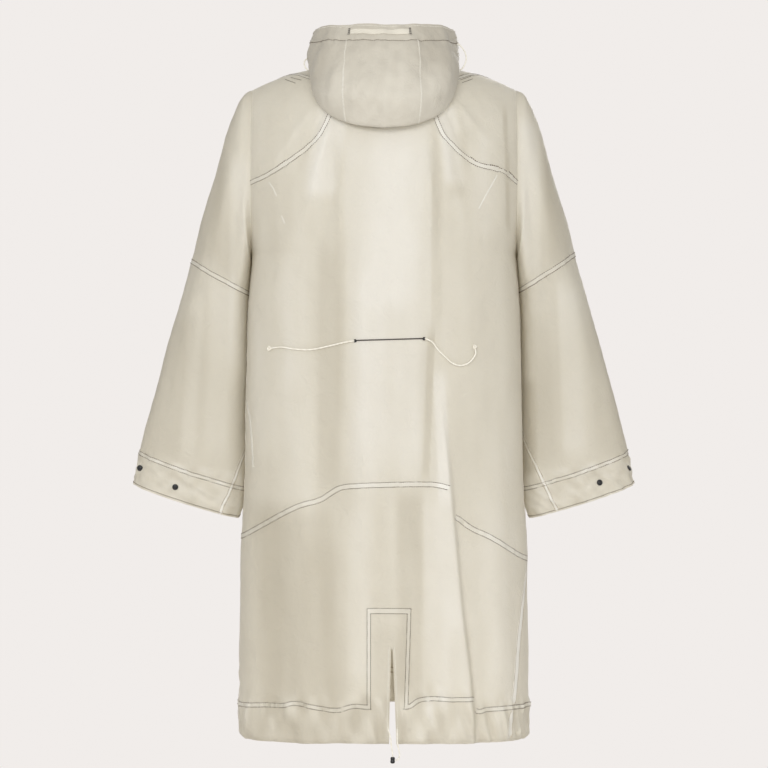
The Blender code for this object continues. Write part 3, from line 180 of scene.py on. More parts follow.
# ---------------------------------------------------------------- forms
@dataclass(frozen=True)
class BodyForm:
    """The surface that carries back, fronts and yokes.

    Rings are superellipses; above the armpits a profile over the shoulder ridge rounds them off.
    """

    armhole_x: float = 0.2285
    armpit_z: float = -0.313
    shoulder_round: float = 0.160
    ring_power: float = 2.6
    shoulder_power: float = 2.3
    neck_power: float = 2.2
    neck_half_width: float = 0.088
    neck_back: float = 0.092
    neck_front: float = 0.118
    armhole_flare: float = 0.024
    armhole_flare_height: float = 0.20
    hem_z: float = -1.147
    front_hem_rise: float = 0.046
    hem_band: float = 0.061
    hem_roll: float = 0.010
    pleat_step: float = 0.0045
    pleat_reach: float = 0.050
    # distance from the centre, ridge height
    ridge: Rows = ((0.0, 0.0300), (0.05, 0.0265), (0.088, 0.0195), (0.126, 0.0085),
                   (0.148, 0.0035), (0.177, -0.0050), (0.200, -0.0140), (0.2145, -0.0205),
                   (0.2285, -0.0275), (0.26, -0.045))
    # height, half width
    widths: Rows = ((-1.25, 0.2505), (-1.06, 0.2505), (-0.92, 0.2490), (-0.80, 0.2470),
                    (-0.72, 0.2422), (-0.52, 0.2380), (-0.38, 0.2342), (-0.33, 0.2300),
                    (-0.313, 0.2285))
    # height, depth
    back_depths: Rows = ((-1.25, 0.150), (-0.90, 0.148), (-0.60, 0.143), (-0.30, 0.152),
                         (-0.12, 0.155), (0.05, 0.155))
    front_depths: Rows = ((-1.25, 0.142), (-0.90, 0.140), (-0.60, 0.136), (-0.30, 0.140),
                          (-0.12, 0.138), (0.05, 0.135))
    # height, angle of the right side seam in degrees
    side_seam: Rows = ((-1.25, 47.0), (-1.145, 51.0), (-1.065, 55.7), (-1.009, 58.5),
                       (-0.952, 62.0), (-0.896, 68.0), (-0.854, 76.0), (-0.80, 86.0),
                       (-0.74, 90.0), (-0.3, 90.0))
    # across, height
    lower_seam: Rows = ((-0.262, -0.804), (-0.239, -0.793), (-0.207, -0.773), (-0.163, -0.749),
                        (-0.141, -0.739), (-0.109, -0.729), (-0.080, -0.711), (-0.042, -0.7055),
                        (0.0, -0.704), (0.064, -0.703), (0.090, -0.704), (0.104, -0.7075),
                        (0.1115, -0.711), (0.1135, -0.715), (0.1165, -0.751), (0.1185, -0.7555),
                        (0.128, -0.763), (0.143, -0.775), (0.175, -0.792), (0.209, -0.814),
                        (0.245, -0.835), (0.262, -0.842))
    # across, height
    hem_seam: Rows = ((-0.262, -1.086), (-0.249, -1.085), (-0.207, -1.081), (-0.168, -1.0793),
                      (-0.155, -1.0757), (-0.117, -1.081), (-0.075, -1.0862), (-0.054, -1.0797),
                      (-0.027, -1.0810), (0.036, -1.0805), (0.045, -1.0780), (0.058, -1.0690),
                      (0.078, -1.066), (0.110, -1.068), (0.140, -1.0680), (0.1485, -1.0690),
                      (0.1505, -1.0725), (0.1530, -1.0835), (0.1550, -1.0862), (0.175, -1.0866),
                      (0.196, -1.086), (0.262, -1.086))
    # height, place of the deep fold's edge, its depth
    pleat: Rows = ((-1.20, 0.155, 0.0150), (-1.07, 0.149, 0.0150), (-0.914, 0.132, 0.0140),
                   (-0.757, 0.118, 0.0120), (-0.66, 0.109, 0.0080), (-0.60, 0.103, 0.0040),
                   (-0.54, 0.094, 0.0), (-0.40, 0.090, 0.0), (0.0, 0.090, 0.0))
    # large folds: top x, top z, foot x, foot z, half width, depth, side (-1 back, 1 front)
    folds: Rows = (
        (-0.064, -0.23, -0.063, -0.66, 0.020, -0.0050, -1),
        (-0.036, -0.25, -0.030, -0.70, 0.022, 0.0040, -1),
        (-0.098, -0.45, -0.072, -1.10, 0.024, -0.0080, -1),
        (-0.145, -0.50, -0.125, -1.15, 0.030, 0.0070, -1),
        (-0.205, -0.62, -0.190, -1.15, 0.022, -0.0050, -1),
        (0.083, -0.40, 0.074, -0.67, 0.014, -0.0055, -1),
        (0.045, -0.75, 0.060, -1.15, 0.030, 0.0050, -1),
        (0.190, -0.55, 0.200, -1.15, 0.026, 0.0060, -1),
        (-0.150, -0.35, -0.165, -1.12, 0.030, 0.0070, 1),
        (-0.080, -0.40, -0.085, -1.12, 0.024, -0.0060, 1),
        (0.090, -0.32, 0.095, -1.12, 0.028, -0.0065, 1),
        (0.165, -0.40, 0.170, -1.12, 0.030, 0.0070, 1),
    )
    # fine folds: top x, top z, foot x, foot z, half width, depth, peak share, side
    fine_folds: Rows = (
        (-0.088, -0.080, -0.150, -0.300, 0.0080, 0.0042, 0.16, -1),
        (-0.100, -0.070, -0.175, -0.230, 0.0075, -0.0034, 0.20, -1),
        (-0.078, -0.090, -0.112, -0.400, 0.0085, -0.0036, 0.18, -1),
        (-0.068, -0.095, -0.080, -0.480, 0.0090, 0.0022, 0.30, -1),
        (-0.112, -0.055, -0.200, -0.180, 0.0080, 0.0032, 0.25, -1),
        (-0.050, -0.100, -0.050, -0.420, 0.0100, -0.0016, 0.35, -1),
        (0.092, -0.078, 0.140, -0.310, 0.0078, 0.0042, 0.16, -1),
        (0.104, -0.062, 0.172, -0.230, 0.0075, -0.0036, 0.18, -1),
        (0.082, -0.088, 0.104, -0.420, 0.0080, -0.0038, 0.18, -1),
        (0.074, -0.094, 0.080, -0.500, 0.0085, 0.0024, 0.30, -1),
        (0.114, -0.045, 0.195, -0.150, 0.0078, 0.0034, 0.25, -1),
        (0.055, -0.100, 0.052, -0.400, 0.0100, -0.0014, 0.35, -1),
        (-0.175, -0.20, -0.170, -0.62, 0.018, 0.0020, 0.5, -1),
        (-0.128, -0.24, -0.122, -0.58, 0.014, -0.0016, 0.5, -1),
        (-0.208, -0.30, -0.205, -0.72, 0.014, -0.0018, 0.5, -1),
        (0.128, -0.22, 0.150, -0.70, 0.018, 0.0022, 0.5, -1),
        (0.180, -0.24, 0.188, -0.72, 0.015, -0.0018, 0.5, -1),
        (0.020, -0.18, 0.022, -0.66, 0.022, 0.0016, 0.5, -1),
        (0.098, -0.56, 0.138, -0.98, 0.010, 0.0014, 0.4, -1),
        (0.160, -0.72, 0.178, -1.12, 0.013, -0.0020, 0.6, -1),
        (-0.010, -0.72, -0.006, -1.10, 0.017, -0.0018, 0.6, -1),
        (0.090, -0.76, 0.103, -1.13, 0.014, -0.0022, 0.6, -1),
        (-0.165, -0.78, -0.158, -1.13, 0.012, -0.0022, 0.7, -1),
        (-0.050, -0.80, -0.046, -1.13, 0.015, 0.0024, 0.7, -1),
        (-0.228, -0.70, -0.222, -1.12, 0.010, 0.0014, 0.6, -1),
        (-0.060, -0.05, -0.110, -0.34, 0.012, 0.0022, 0.25, 1),
        (-0.045, -0.07, -0.060, -0.40, 0.011, -0.0018, 0.30, 1),
        (0.058, -0.05, 0.115, -0.34, 0.012, -0.0020, 0.25, 1),
        (0.045, -0.07, 0.070, -0.42, 0.012, 0.0022, 0.30, 1),
        (-0.190, -0.30, -0.200, -0.80, 0.016, -0.0020, 0.5, 1),
        (0.195, -0.32, 0.200, -0.85, 0.016, 0.0022, 0.5, 1),
        (-0.120, -0.60, -0.122, -1.08, 0.014, 0.0020, 0.6, 1),
        (0.128, -0.60, 0.130, -1.08, 0.014, -0.0020, 0.6, 1),
    )

    # bands of painted light (amount above 0) and painted shade (amount below 0): top x, top z,
    # foot x, foot z, reach left, reach right, amount, side
    painted_light_bands: Rows = (
        (0.0085, -0.060, 0.0030, -0.740, 0.076, 0.078, 0.60, -1),
        (0.034, -0.070, 0.016, -0.430, 0.050, 0.040, 0.60, -1),
        (-0.073, -0.100, -0.070, -0.640, 0.013, 0.0065, -0.35, -1),
        (-0.028, -0.330, -0.030, -0.760, 0.032, 0.036, 0.30, -1),
        (-0.097, -0.270, -0.100, -0.740, 0.016, 0.024, -0.60, -1),
        (-0.150, -0.260, -0.152, -0.560, 0.018, 0.030, 0.20, -1),
        (-0.078, -0.050, -0.105, -0.230, 0.032, 0.022, 0.95, -1),
        (-0.168, -0.160, -0.170, -0.330, 0.030, 0.016, -0.22, -1),
        (0.098, -0.055, 0.118, -0.210, 0.015, 0.024, 0.90, -1),
        (0.128, -0.100, 0.122, -0.230, 0.012, 0.016, -0.45, -1),
        (0.170, -0.100, 0.172, -0.300, 0.020, 0.022, 0.25, -1),
        (0.087, -0.070, 0.084, -0.500, 0.0050, 0.014, -0.45, -1),
        (0.0835, -0.430, 0.0720, -0.720, 0.0090, 0.0045, -0.95, -1),
        (0.0920, -0.500, 0.1040, -0.760, 0.0100, 0.0120, 0.90, -1),
        (0.052, -0.690, 0.049, -1.095, 0.030, 0.016, -1.05, -1),
        (0.090, -0.715, 0.108, -1.085, 0.026, 0.024, 0.22, -1),
        (-0.147, -0.720, -0.118, -1.110, 0.085, 0.053, -0.90, -1),
        (-0.052, -0.720, -0.045, -1.070, 0.016, 0.032, 0.35, -1),
        (0.222, -0.100, 0.228, -0.600, 0.020, 0.030, -0.20, -1),
        (0.160, -0.780, 0.170, -1.060, 0.024, 0.030, 0.15, -1),
        (-0.205, -0.620, -0.205, -1.120, 0.050, 0.040, -0.22, -1),
        (0.000, -1.075, 0.000, -1.300, 0.400, 0.400, -0.45, -1),
        (-0.155, -1.050, -0.150, -1.250, 0.040, 0.050, -0.50, -1),
        (0.008, -0.930, 0.008, -1.180, 0.032, 0.034, -0.35, -1),
        # painted shade along the crease at the right armhole
        (0.2060, -0.050, 0.2125, -0.290, 0.0035, 0.0045, -0.90, -1),
        (-0.112, -0.780, -0.112, -1.300, 0.034, 0.032, -0.35, -1),
        (0.128, -0.930, 0.130, -1.250, 0.020, 0.022, -0.45, -1),
        (-0.090, -0.150, -0.100, -1.120, 0.050, 0.040, 0.35, 1),
        (0.100, -0.200, 0.110, -1.120, 0.040, 0.050, 0.30, 1),
        (0.040, -0.300, 0.035, -1.120, 0.020, 0.026, -0.40, 1),
        (-0.035, -0.220, -0.040, -1.120, 0.022, 0.018, -0.30, 1),
        (-0.170, -0.300, -0.180, -1.120, 0.030, 0.040, -0.35, 1),
        (0.190, -0.250, 0.200, -1.120, 0.030, 0.034, -0.35, 1),
    )

    def half_width(self, z: Array) -> Array:
        """Half width of the ring; above the armpit a parabola opens the armhole."""
        rise = np.clip((z - self.armpit_z) / self.armhole_flare_height, 0.0, 1.0)
        above = self.armhole_x + self.armhole_flare * (1 - (1 - rise) ** 2)
        return np.where(z > self.armpit_z, above, smooth_table(self.widths, z))

    def ring_depth(self, z: Array, front: Array) -> Array:
        """Depth of the ring's front or back half."""
        return np.where(front, smooth_table(self.front_depths, z),
                        smooth_table(self.back_depths, z))

    def depth_at(self, x: Array, z: Array, front: Array) -> Array:
        """Depth at x before the shoulder rounds it: depth times (1 - share^p)^(1/p)."""
        share = np.clip(np.abs(x) / self.half_width(z), 0.0, 1.0)
        return self.ring_depth(z, front) * (1 - share ** self.ring_power) ** (1 / self.ring_power)

    def ridge_height(self, x: Array) -> Array:
        """Height of the shoulder ridge."""
        return smooth_table(self.ridge, np.abs(x))

    def over_shoulder(self, x: Array, place: Array) -> Array:
        """Point at x and a place from -1 (back) over the ridge (0) to 1 (front), and on down."""
        x, place = np.broadcast_arrays(np.asarray(x, float), np.asarray(place, float))
        size = np.abs(place)
        angle = np.minimum(size, 1.0) * RIGHT_ANGLE
        radius = oval_radius(angle, self.shoulder_power)
        drop = self.shoulder_round
        z = self.ridge_height(x) - drop + drop * radius * np.cos(angle) - drop * np.maximum(
            size - 1.0, 0.0)
        y = np.sign(place) * self.depth_at(x, z, place > 0) * radius * np.sin(angle)
        return np.stack([x, y, z], axis=-1)

    def place_from_height(self, x: Array, z: Array, front: bool | Array) -> Array:
        """Place over the shoulder of the point at x and z."""
        level = (z - self.ridge_height(x) + self.shoulder_round) / self.shoulder_round
        inside = np.clip(level, 1e-9, 1 - 1e-9) ** self.shoulder_power
        slope = ((1 - inside) / inside) ** (1 / self.shoulder_power)
        size = np.where(level > 0, np.arctan(slope) / RIGHT_ANGLE, 1.0 - level)
        return np.where(front, size, -size)

    def place_from_depth(self, x: Array, y: Array) -> Array:
        """Place over the shoulder of the point at x and y, found by repeated guesses of z."""
        z = self.ridge_height(x) - 0.03
        size = np.zeros_like(x)
        for _ in range(12):
            share = np.clip(np.abs(y) / self.depth_at(x, z, y > 0), 0.0, 0.999)
            angle = oval_angle(share, self.shoulder_power)
            size = angle / RIGHT_ANGLE
            radius = oval_radius(angle, self.shoulder_power)
            z = self.ridge_height(x) - self.shoulder_round * (1 - radius * np.cos(angle))
        return np.where(y > 0, size, -size)

    def ring_point(self, angle: Array, z: Array) -> Array:
        """Point of a ring: 0 back centre, a right angle at the right side, pi front centre."""
        angle, z = np.broadcast_arrays(np.asarray(angle, float), np.asarray(z, float))
        radius = oval_radius(angle, self.ring_power)
        x = self.half_width(z) * radius * np.sin(angle)
        front = np.abs(angle) > RIGHT_ANGLE
        level = np.clip((z - self.ridge_height(x)) / self.shoulder_round + 1, 0.0, 1.0)
        rounding = (1 - level ** self.shoulder_power) ** (1 / self.shoulder_power)
        y = -self.ring_depth(z, front) * radius * np.cos(angle) * rounding
        return np.stack([x, y, z], axis=-1)

    def pleat_push(self, x: Array, z: Array) -> Array:
        """Push of the deep fold: a bell that rises to its edge, cut off by a steep S-curve."""
        before = smooth_table(self.pleat, z, 1) - x
        depth = np.maximum(smooth_table(self.pleat, z, 2), 0.0)
        drop = 1 / (1 + np.exp(np.clip(-before / self.pleat_step * 2.2, -40, 40)))
        return depth * drop * np.exp(-(np.maximum(before, 0.0) / self.pleat_reach) ** 2)

    def fold_push(self, points: Array) -> Array:
        """Push of the large and fine folds: bells across lines that run down the cloth."""
        x, y, z = points[..., 0], points[..., 1], points[..., 2]
        push = np.where(y < 0, self.pleat_push(x, z), 0.0)
        for top_x, top_z, foot_x, foot_z, width, depth, side in self.folds:
            down = (top_z - z) / (top_z - foot_z)
            centre = top_x + (foot_x - top_x) * np.clip(down, 0.0, 1.2)
            fade = ease(down / 0.45) * ease((1.35 - down) / 0.3)
            push += np.where(y * side > 0, depth * np.exp(-((x - centre) / width) ** 2) * fade, 0)
        sway = 0.004 * np.sin(z * 23.0) + 0.0025 * np.sin(z * 51.0 + 1.3)
        for top_x, top_z, foot_x, foot_z, width, depth, peak, side in self.fine_folds:
            down = (top_z - z) / (top_z - foot_z)
            centre = top_x + (foot_x - top_x) * np.clip(down, 0.0, 1.2) + sway * ease(down)
            spread = width * (0.8 + 0.6 * np.clip(down, 0, 1))
            fade = ease(down / peak) * ease((1.1 - down) / (1.1 - peak))
            push += np.where(y * side > 0, depth * np.exp(-((x - centre) / spread) ** 2) * fade, 0)
        share = np.clip(np.abs(x) / self.half_width(z), 0.0, 1.0)
        return push * (1 - share ** 10)

    def painted_light(self, points: Array) -> Array:
        """Painted light and shade, about -1 to 1: the bands, painted highlight on ridges over
        painted shade in troughs, and long streaks.
        """
        x, y, z = points[..., 0], points[..., 1], points[..., 2]
        total = band_light(self.painted_light_bands, x, y, z)
        # painted highlight on the folds' ridges, painted shade in their troughs
        total += 58.0 * self.fold_push(points)
        total += 0.13 * Ripple(61, 0.090)(x, y, z * 0.14) + 0.07 * Ripple(62, 0.030)(x, y, z * 0.2)
        # uneven painted light and shade over the hem band's crumples, darker on the whole
        low = z - np.where(y < 0, smooth_table(self.hem_seam, x), self.hem_z + self.hem_band
                           + self.front_hem_rise)
        hem = np.where(low > 0, np.exp(-(low / 0.020) ** 2), 1.0)
        return total + hem * (0.50 * Ripple(21, 0.020)(x, y, z * 0.25) - 0.10)

    def pucker_push(self, points: Array) -> Array:
        """Small uneven waves: slack cloth all over, and puckers beside the sewn seams."""
        x, y, z = points[..., 0], points[..., 1], points[..., 2]
        back = y < 0
        slack = 0.00055 * Ripple(11, 0.075)(x, y, z * 0.45)
        slack += 0.00022 * Ripple(12, 0.028)(x, y, z * 0.8)
        band_top = np.where(back, smooth_table(self.hem_seam, x), self.hem_z + self.hem_band
                            + self.front_hem_rise)
        low = z - band_top
        across = Ripple(21, 0.020)(x, y, z * 0.25) + 0.6 * Ripple(22, 0.011)(x, y, z * 0.3)
        hem = 0.00210 * np.where(low > 0, np.exp(-(low / 0.010) ** 2), 1.0) * across
        lower = z - smooth_table(self.lower_seam, x)
        seam = 0.00060 * np.exp(-(lower / 0.012) ** 2) * Ripple(23, 0.016)(x, z * 0.2, y)
        vent = np.exp(-((np.abs(x - 0.0085) - 0.036) / 0.007) ** 2) * (z < -0.915)
        seam += 0.0004 * vent * Ripple(24, 0.014)(z, y, x * 0.2)
        gather = np.exp(-((x - 0.012) / 0.060) ** 2) * ease((-1.085 - z) / 0.05)
        fan = 0.0016 * gather * np.sin((x - 0.012) / (0.0075 + 0.05 * np.maximum(z + 1.147, 0)))
        return slack + hem + np.where(back, seam + fan, 0.0)

    def drape(self, points: Array) -> Array:
        """Points pushed outwards, level with the ground, by folds, puckers and the rolled hem."""
        x, y, z = points[..., 0], points[..., 1], points[..., 2]
        width = self.half_width(z)
        depth = self.ring_depth(z, y > 0)
        power = self.ring_power - 1
        out_x = np.sign(x) * (np.abs(x) / width) ** power / width
        out_y = np.sign(y) * (np.abs(y) / depth) ** power / depth
        length = np.maximum(np.hypot(out_x, out_y), 1e-9)
        neck = ease((np.hypot(x, y) - 0.10) / 0.04) + ease((-0.12 - z) / 0.05)
        push = self.fold_push(points) + self.pucker_push(points) * np.clip(neck, 0.0, 1.0)
        angle = np.arctan2(x / width, -y / depth)
        near = np.clip(1 - (z - self.hem_height(angle)) / self.hem_roll, 0.0, 1.0)
        push -= self.hem_roll * 0.6 * (1 - np.sqrt(1 - near ** 2 * 0.98))
        armhole = ease((self.armhole_x + 0.0006 - np.abs(x)) / 0.012)
        push *= np.where(z > self.armpit_z - 0.01, armhole, 1.0)
        moved = points.copy()
        moved[..., 0] += push * out_x / length
        moved[..., 1] += push * out_y / length
        return moved

    def shoulder_surface(self, x: Array, place: Array) -> Array:
        """Finished surface over the shoulder."""
        return self.drape(self.over_shoulder(x, place))

    def ring_surface(self, angle: Array, z: Array) -> Array:
        """Finished surface round the body."""
        return self.drape(self.ring_point(angle, z))

    def armhole_angle(self, z: Array) -> Array:
        """Angle at which a ring meets the armhole."""
        return oval_angle(self.armhole_x / self.half_width(z), self.ring_power)

    def side_angle(self, side: int, z: Array) -> Array:
        """Angle of the back's edge: the armhole, then the side seam."""
        below = RIGHT_ANGLE if side < 0 else np.radians(smooth_table(self.side_seam, z))
        return side * np.where(z > self.armpit_z, self.armhole_angle(z), below)

    def hem_height(self, angle: Array) -> Array:
        """Height of the hem, which eases up towards the front."""
        return self.hem_z + self.front_hem_rise * ease((np.degrees(np.abs(angle)) - 92.0) / 60.0)

    def across(self, angle: Array, z: float) -> Array:
        """Distance from the centre at an angle of the ring at one height."""
        width = self.half_width(np.full_like(angle, z))
        return width * oval_radius(angle, self.ring_power) * np.sin(angle)

    def lower_seam_height(self, angle: Array) -> Array:
        """Height of the back's curved lower seam."""
        return smooth_table(self.lower_seam, self.across(angle, -0.76))

    def hem_seam_height(self, angle: Array) -> Array:
        """Height of the back hem band's top edge."""
        return smooth_table(self.hem_seam, self.across(angle, -1.08))

    def neck_place(self, angle: Array) -> Array:
        """Neckline as x and place over the shoulder, at an angle round the neck."""
        radius = oval_radius(angle, self.neck_power)
        x = self.neck_half_width * radius * np.sin(angle)
        reach = np.where(np.cos(angle) > 0, self.neck_back, self.neck_front)
        return np.stack([x, self.place_from_depth(x, -reach * radius * np.cos(angle))], axis=-1)


def blend_patch(left: Callable, right: Callable, top: Callable, bottom: Callable,
                u: Array, v: Array) -> Array:
    """Patch between four boundary curves: sides plus ends minus the bilinear corners.

    Args:
        left, right: Curves down the sides, functions of v.
        top, bottom: Curves along the ends, functions of u.
        u, v: Shares across and down.

    Returns:
        Points of the patch.
    """
    u, v = np.broadcast_arrays(np.asarray(u, float), np.asarray(v, float))
    a, b = u[..., None], v[..., None]
    zero, one = np.zeros_like(u), np.ones_like(u)
    corners = ((1 - a) * (1 - b) * top(zero) + a * (1 - b) * top(one)
               + (1 - a) * b * bottom(zero) + a * b * bottom(one))
    return (1 - a) * left(v) + a * right(v) + (1 - b) * top(u) + b * bottom(u) - corners


@dataclass(frozen=True)
class BodyPlan:
    """Where the cut pieces of the body lie on its form."""

    form: BodyForm = BodyForm()
    yoke_end_z: float = -0.192
    back_turn_z: float = -0.62
    chest_z: float = -0.170
    vent_top_z: float = -0.917
    vent_left: float = math.radians(-6.45)
    vent_right: float = math.radians(10.35)
    slit_apex_z: float = -0.986
    slit_angle: float = 2.95
    slit_top: float = 0.25
    slit_hem: float = 2.6
    placket_half_width: float = 0.021
    neck_back_seam: float = 32.0
    neck_front_seam: float = 43.0
    front_seam_share: float = 0.6
    anchors: Sequence[float] = (0.0, 0.36, 0.46, 0.60, 0.68, 1.0)
    # distance from the centre, height on the back
    yoke_left: Rows = ((0.092, -0.080), (0.1025, -0.103), (0.1285, -0.1335), (0.1555, -0.154),
                       (0.183, -0.1715), (0.207, -0.184), (0.2285, -0.192))
    yoke_right: Rows = ((0.087, -0.083), (0.0965, -0.108), (0.1165, -0.132), (0.1385, -0.151),
                        (0.161, -0.164), (0.187, -0.170), (0.204, -0.1745), (0.2285, -0.192))
    # distance from the centre, place over the shoulder
    front_yoke_rows: Rows = ((0.085, -0.415), (0.110, -0.425), (0.132, -0.345), (0.151, -0.221),
                             (0.172, -0.060), (0.197, 0.150), (0.2285, 0.420))

    def seam_over_x(self, rows: Rows, side: int, part: Array) -> Array:
        """Seam as x and place, by its share of the way across."""
        x = rows[0][0] + (rows[-1][0] - rows[0][0]) * np.asarray(part, dtype=float)
        return np.stack([side * x, smooth_table(rows, x)], axis=-1)

    def yoke_seam(self, side: int, part: Array) -> Array:
        """Back yoke seam from the neckline (0) to the armhole (1)."""
        form = self.form
        rows = [tuple(form.neck_place(np.array([math.radians(self.neck_back_seam)]))[0])]
        for x, z in self.yoke_left if side < 0 else self.yoke_right:
            rows.append((x, float(form.place_from_height(np.array(x), np.array(z), False))))
        return self.seam_over_x(rows, side, part)

    def front_yoke_seam(self, side: int, part: Array) -> Array:
        """Front yoke seam from the neckline (0) over the shoulder to the armhole (1)."""
        start = tuple(self.form.neck_place(np.array([math.radians(self.neck_front_seam)]))[0])
        return self.seam_over_x([start, *self.front_yoke_rows], side, part)

    def neck_run(self, side: int, start: float, end: float, part: Array) -> Array:
        """Neckline between two angles in degrees."""
        run = self.form.neck_place(np.radians(start + (end - start) * np.asarray(part, float)))
        return np.stack([side * run[..., 0], run[..., 1]], axis=-1)

    def back_angle(self, u: Array, z: Array) -> Array:
        """Angle of a back column: straight runs between edges, vent sides and the deep fold."""
        form = self.form
        u, z = np.broadcast_arrays(np.asarray(u, float), np.asarray(z, float))
        edge = np.clip(smooth_table(form.pleat, z, 1) / form.half_width(z), 0.0, 0.98)
        fold = oval_angle(edge, form.ring_power)
        spread = math.radians(2.6)
        places = (form.side_angle(-1, z), np.full_like(z, self.vent_left),
                  np.full_like(z, self.vent_right), fold - spread, fold + spread,
                  form.side_angle(1, z))
        result = np.zeros_like(u)
        for i, (low, high) in enumerate(zip(self.anchors, self.anchors[1:])):
            part = (u - low) / (high - low)
            value = places[i] + (places[i + 1] - places[i]) * part
            inside = (u >= low if i else u > -1.0) & (u <= high if i < 4 else u < 2.0)
            result = np.where(inside, value, result)
        return result

    def back_bib(self, u: Array, v: Array) -> Array:
        """Back between the yoke seams, from the neckline to the yokes' end."""
        form = self.form

        def bottom(part: Array) -> Array:
            """Level line across the back at the yokes' end."""
            z = np.full_like(part, self.yoke_end_z)
            x = form.ring_point(self.back_angle(part, z), z)[..., 0]
            return np.stack([x, form.place_from_height(x, z, False)], axis=-1)

        flat = blend_patch(
            lambda p: self.yoke_seam(-1, p), lambda p: self.yoke_seam(1, p),
            lambda p: self.neck_run(1, -self.neck_back_seam, self.neck_back_seam, p),
            bottom, u, v)
        return form.shoulder_surface(flat[..., 0], flat[..., 1])

    def back_upper(self, u: Array, v: Array) -> Array:
        """Upper back: v 0 to 1 the bib, 1 to 2 level rows, 2 to 3 down to the curved seam."""
        level = self.yoke_end_z + (self.back_turn_z - self.yoke_end_z) * np.clip(v - 1, 0, 1)
        seam = self.form.lower_seam_height(self.back_angle(u, np.full_like(u, -0.76)))
        low = self.back_turn_z + (seam - self.back_turn_z) * np.clip(v - 2.0, 0.0, 1.0)
        z = np.where(v > 2.0, low, level)
        body = self.form.ring_surface(self.back_angle(u, z), z)
        return np.where((v < 1.0)[..., None], self.back_bib(u, np.clip(v, 0.0, 1.0)), body)

    def back_lower(self, u: Array, v: Array) -> Array:
        """Lower back: v 0 to 1 down to the vent's top, 1 to 2 down to the hem band."""
        top = self.form.lower_seam_height(self.back_angle(u, np.full_like(u, -0.76)))
        foot = self.form.hem_seam_height(self.back_angle(u, np.full_like(u, -1.08)))
        upper = top + (self.vent_top_z - top) * np.clip(v, 0.0, 1.0)
        lower = self.vent_top_z + (foot - self.vent_top_z) * np.clip(v - 1.0, 0.0, 1.0)
        z = np.where(v > 1.0, lower, upper)
        return self.form.ring_surface(self.back_angle(u, z), z)

    def hem_back(self, u: Array, v: Array) -> Array:
        """Hem band of the back."""
        top = self.form.hem_seam_height(self.back_angle(u, np.full_like(u, -1.08)))
        z = top + (self.form.hem_z - top) * v
        return self.form.ring_surface(self.back_angle(u, z), z)

    def slit_angles(self, z: Array) -> tuple[Array, Array]:
        """Angles in degrees of the slit's two edges, which part towards the hem."""
        share = np.clip((self.slit_apex_z - z) / (self.slit_apex_z - self.form.hem_z), 0.0, 1.0)
        width = self.slit_top + (self.slit_hem - self.slit_top) * share ** 0.8
        left = self.slit_angle - self.slit_top / 2 - 0.35 * width
        return left, self.slit_angle + self.slit_top / 2 + 0.65 * width

    def vent(self, u: Array, v: Array) -> Array:
        """Vent panel: u 0 its left edge, 1 and 2 the slit's edges, 3 its right edge."""
        z = self.vent_top_z + (self.form.hem_z - self.vent_top_z) * v
        left, right = self.slit_angles(z)
        places = (np.full_like(z, math.degrees(self.vent_left)), left, right,
                  np.full_like(z, math.degrees(self.vent_right)))
        degrees = places[0]
        for i in range(3):
            degrees = degrees + (places[i + 1] - places[i]) * np.clip(u - i, 0.0, 1.0)
        return self.form.ring_surface(np.radians(degrees), z)

    def yoke(self, side: int) -> Surface:
        """Yoke: u neckline to armhole, v back seam to front seam."""
        start = float(self.yoke_seam(side, np.ones(1))[0, 1])
        end = float(self.front_yoke_seam(side, np.ones(1))[0, 1])

        def armhole(part: Array) -> Array:
            """Armhole edge from the back seam to the front seam."""
            x = np.full_like(part, side * self.form.armhole_x)
            return np.stack([x, start + (end - start) * part], axis=-1)

        def surface(u: Array, v: Array) -> Array:
            """Point of the yoke."""
            flat = blend_patch(
                lambda p: self.neck_run(side, self.neck_back_seam, self.neck_front_seam, p),
                armhole, lambda p: self.yoke_seam(side, p),
                lambda p: self.front_yoke_seam(side, p), u, v)
            return self.form.shoulder_surface(flat[..., 0], flat[..., 1])
        return surface

    def placket_angle(self, z: Array) -> Array:
        """Angle between the front centre and the placket's edge."""
        return oval_angle(self.placket_half_width / self.form.half_width(z), self.form.ring_power)

    def front_angle(self, side: int, u: Array, z: Array) -> Array:
        """Angle of a front column: 0 at the placket, 1 at the armhole or side seam."""
        u, z = np.broadcast_arrays(np.asarray(u, float), np.asarray(z, float))
        centre = side * (math.pi - self.placket_angle(z))
        edge = np.where(z > self.form.armpit_z, side * (math.pi - self.form.armhole_angle(z)),
                        self.form.side_angle(side, z))
        return centre + (edge - centre) * u

    def neck_front_angle(self) -> float:
        """Angle at which the neckline meets the placket's edge."""
        share = self.placket_half_width / self.form.neck_half_width
        return math.pi - float(oval_angle(np.array(share), self.form.neck_power))

    def front_top(self, side: int, u: Array, v: Array) -> Array:
        """Front from the neckline to a level line across the chest."""
        form = self.form
        turn = self.neck_front_angle()
        depth = -form.neck_front * float(oval_radius(np.array(turn), form.neck_power))
        depth *= math.cos(turn)

        def chest_place(x: Array) -> Array:
            """Place of the chest line at x."""
            return form.place_from_height(x, np.full_like(x, self.chest_z), True)

        def centre_line(part: Array) -> Array:
            """Edge along the placket."""
            x = np.full_like(part, side * self.placket_half_width)
            start = form.place_from_depth(x, np.full_like(part, depth))
            return np.stack([x, start + (chest_place(x) - start) * part], axis=-1)

        def outer_line(part: Array) -> Array:
            """Edge along the yoke seam, then down the armhole."""
            seam = self.front_yoke_seam(side, np.clip(part / self.front_seam_share, 0.0, 1.0))
            x = np.full_like(part, side * form.armhole_x)
            rest = np.clip((part - self.front_seam_share) / (1 - self.front_seam_share), 0, 1)
            armhole = np.stack([x, seam[..., 1] + (chest_place(x) - seam[..., 1]) * rest], -1)
            return np.where((part > self.front_seam_share)[..., None], armhole, seam)

        def chest_line(part: Array) -> Array:
            """Level line across the chest."""
            z = np.full_like(part, self.chest_z)
            x = form.ring_point(self.front_angle(side, part, z), z)[..., 0]
            return np.stack([x, chest_place(x)], axis=-1)

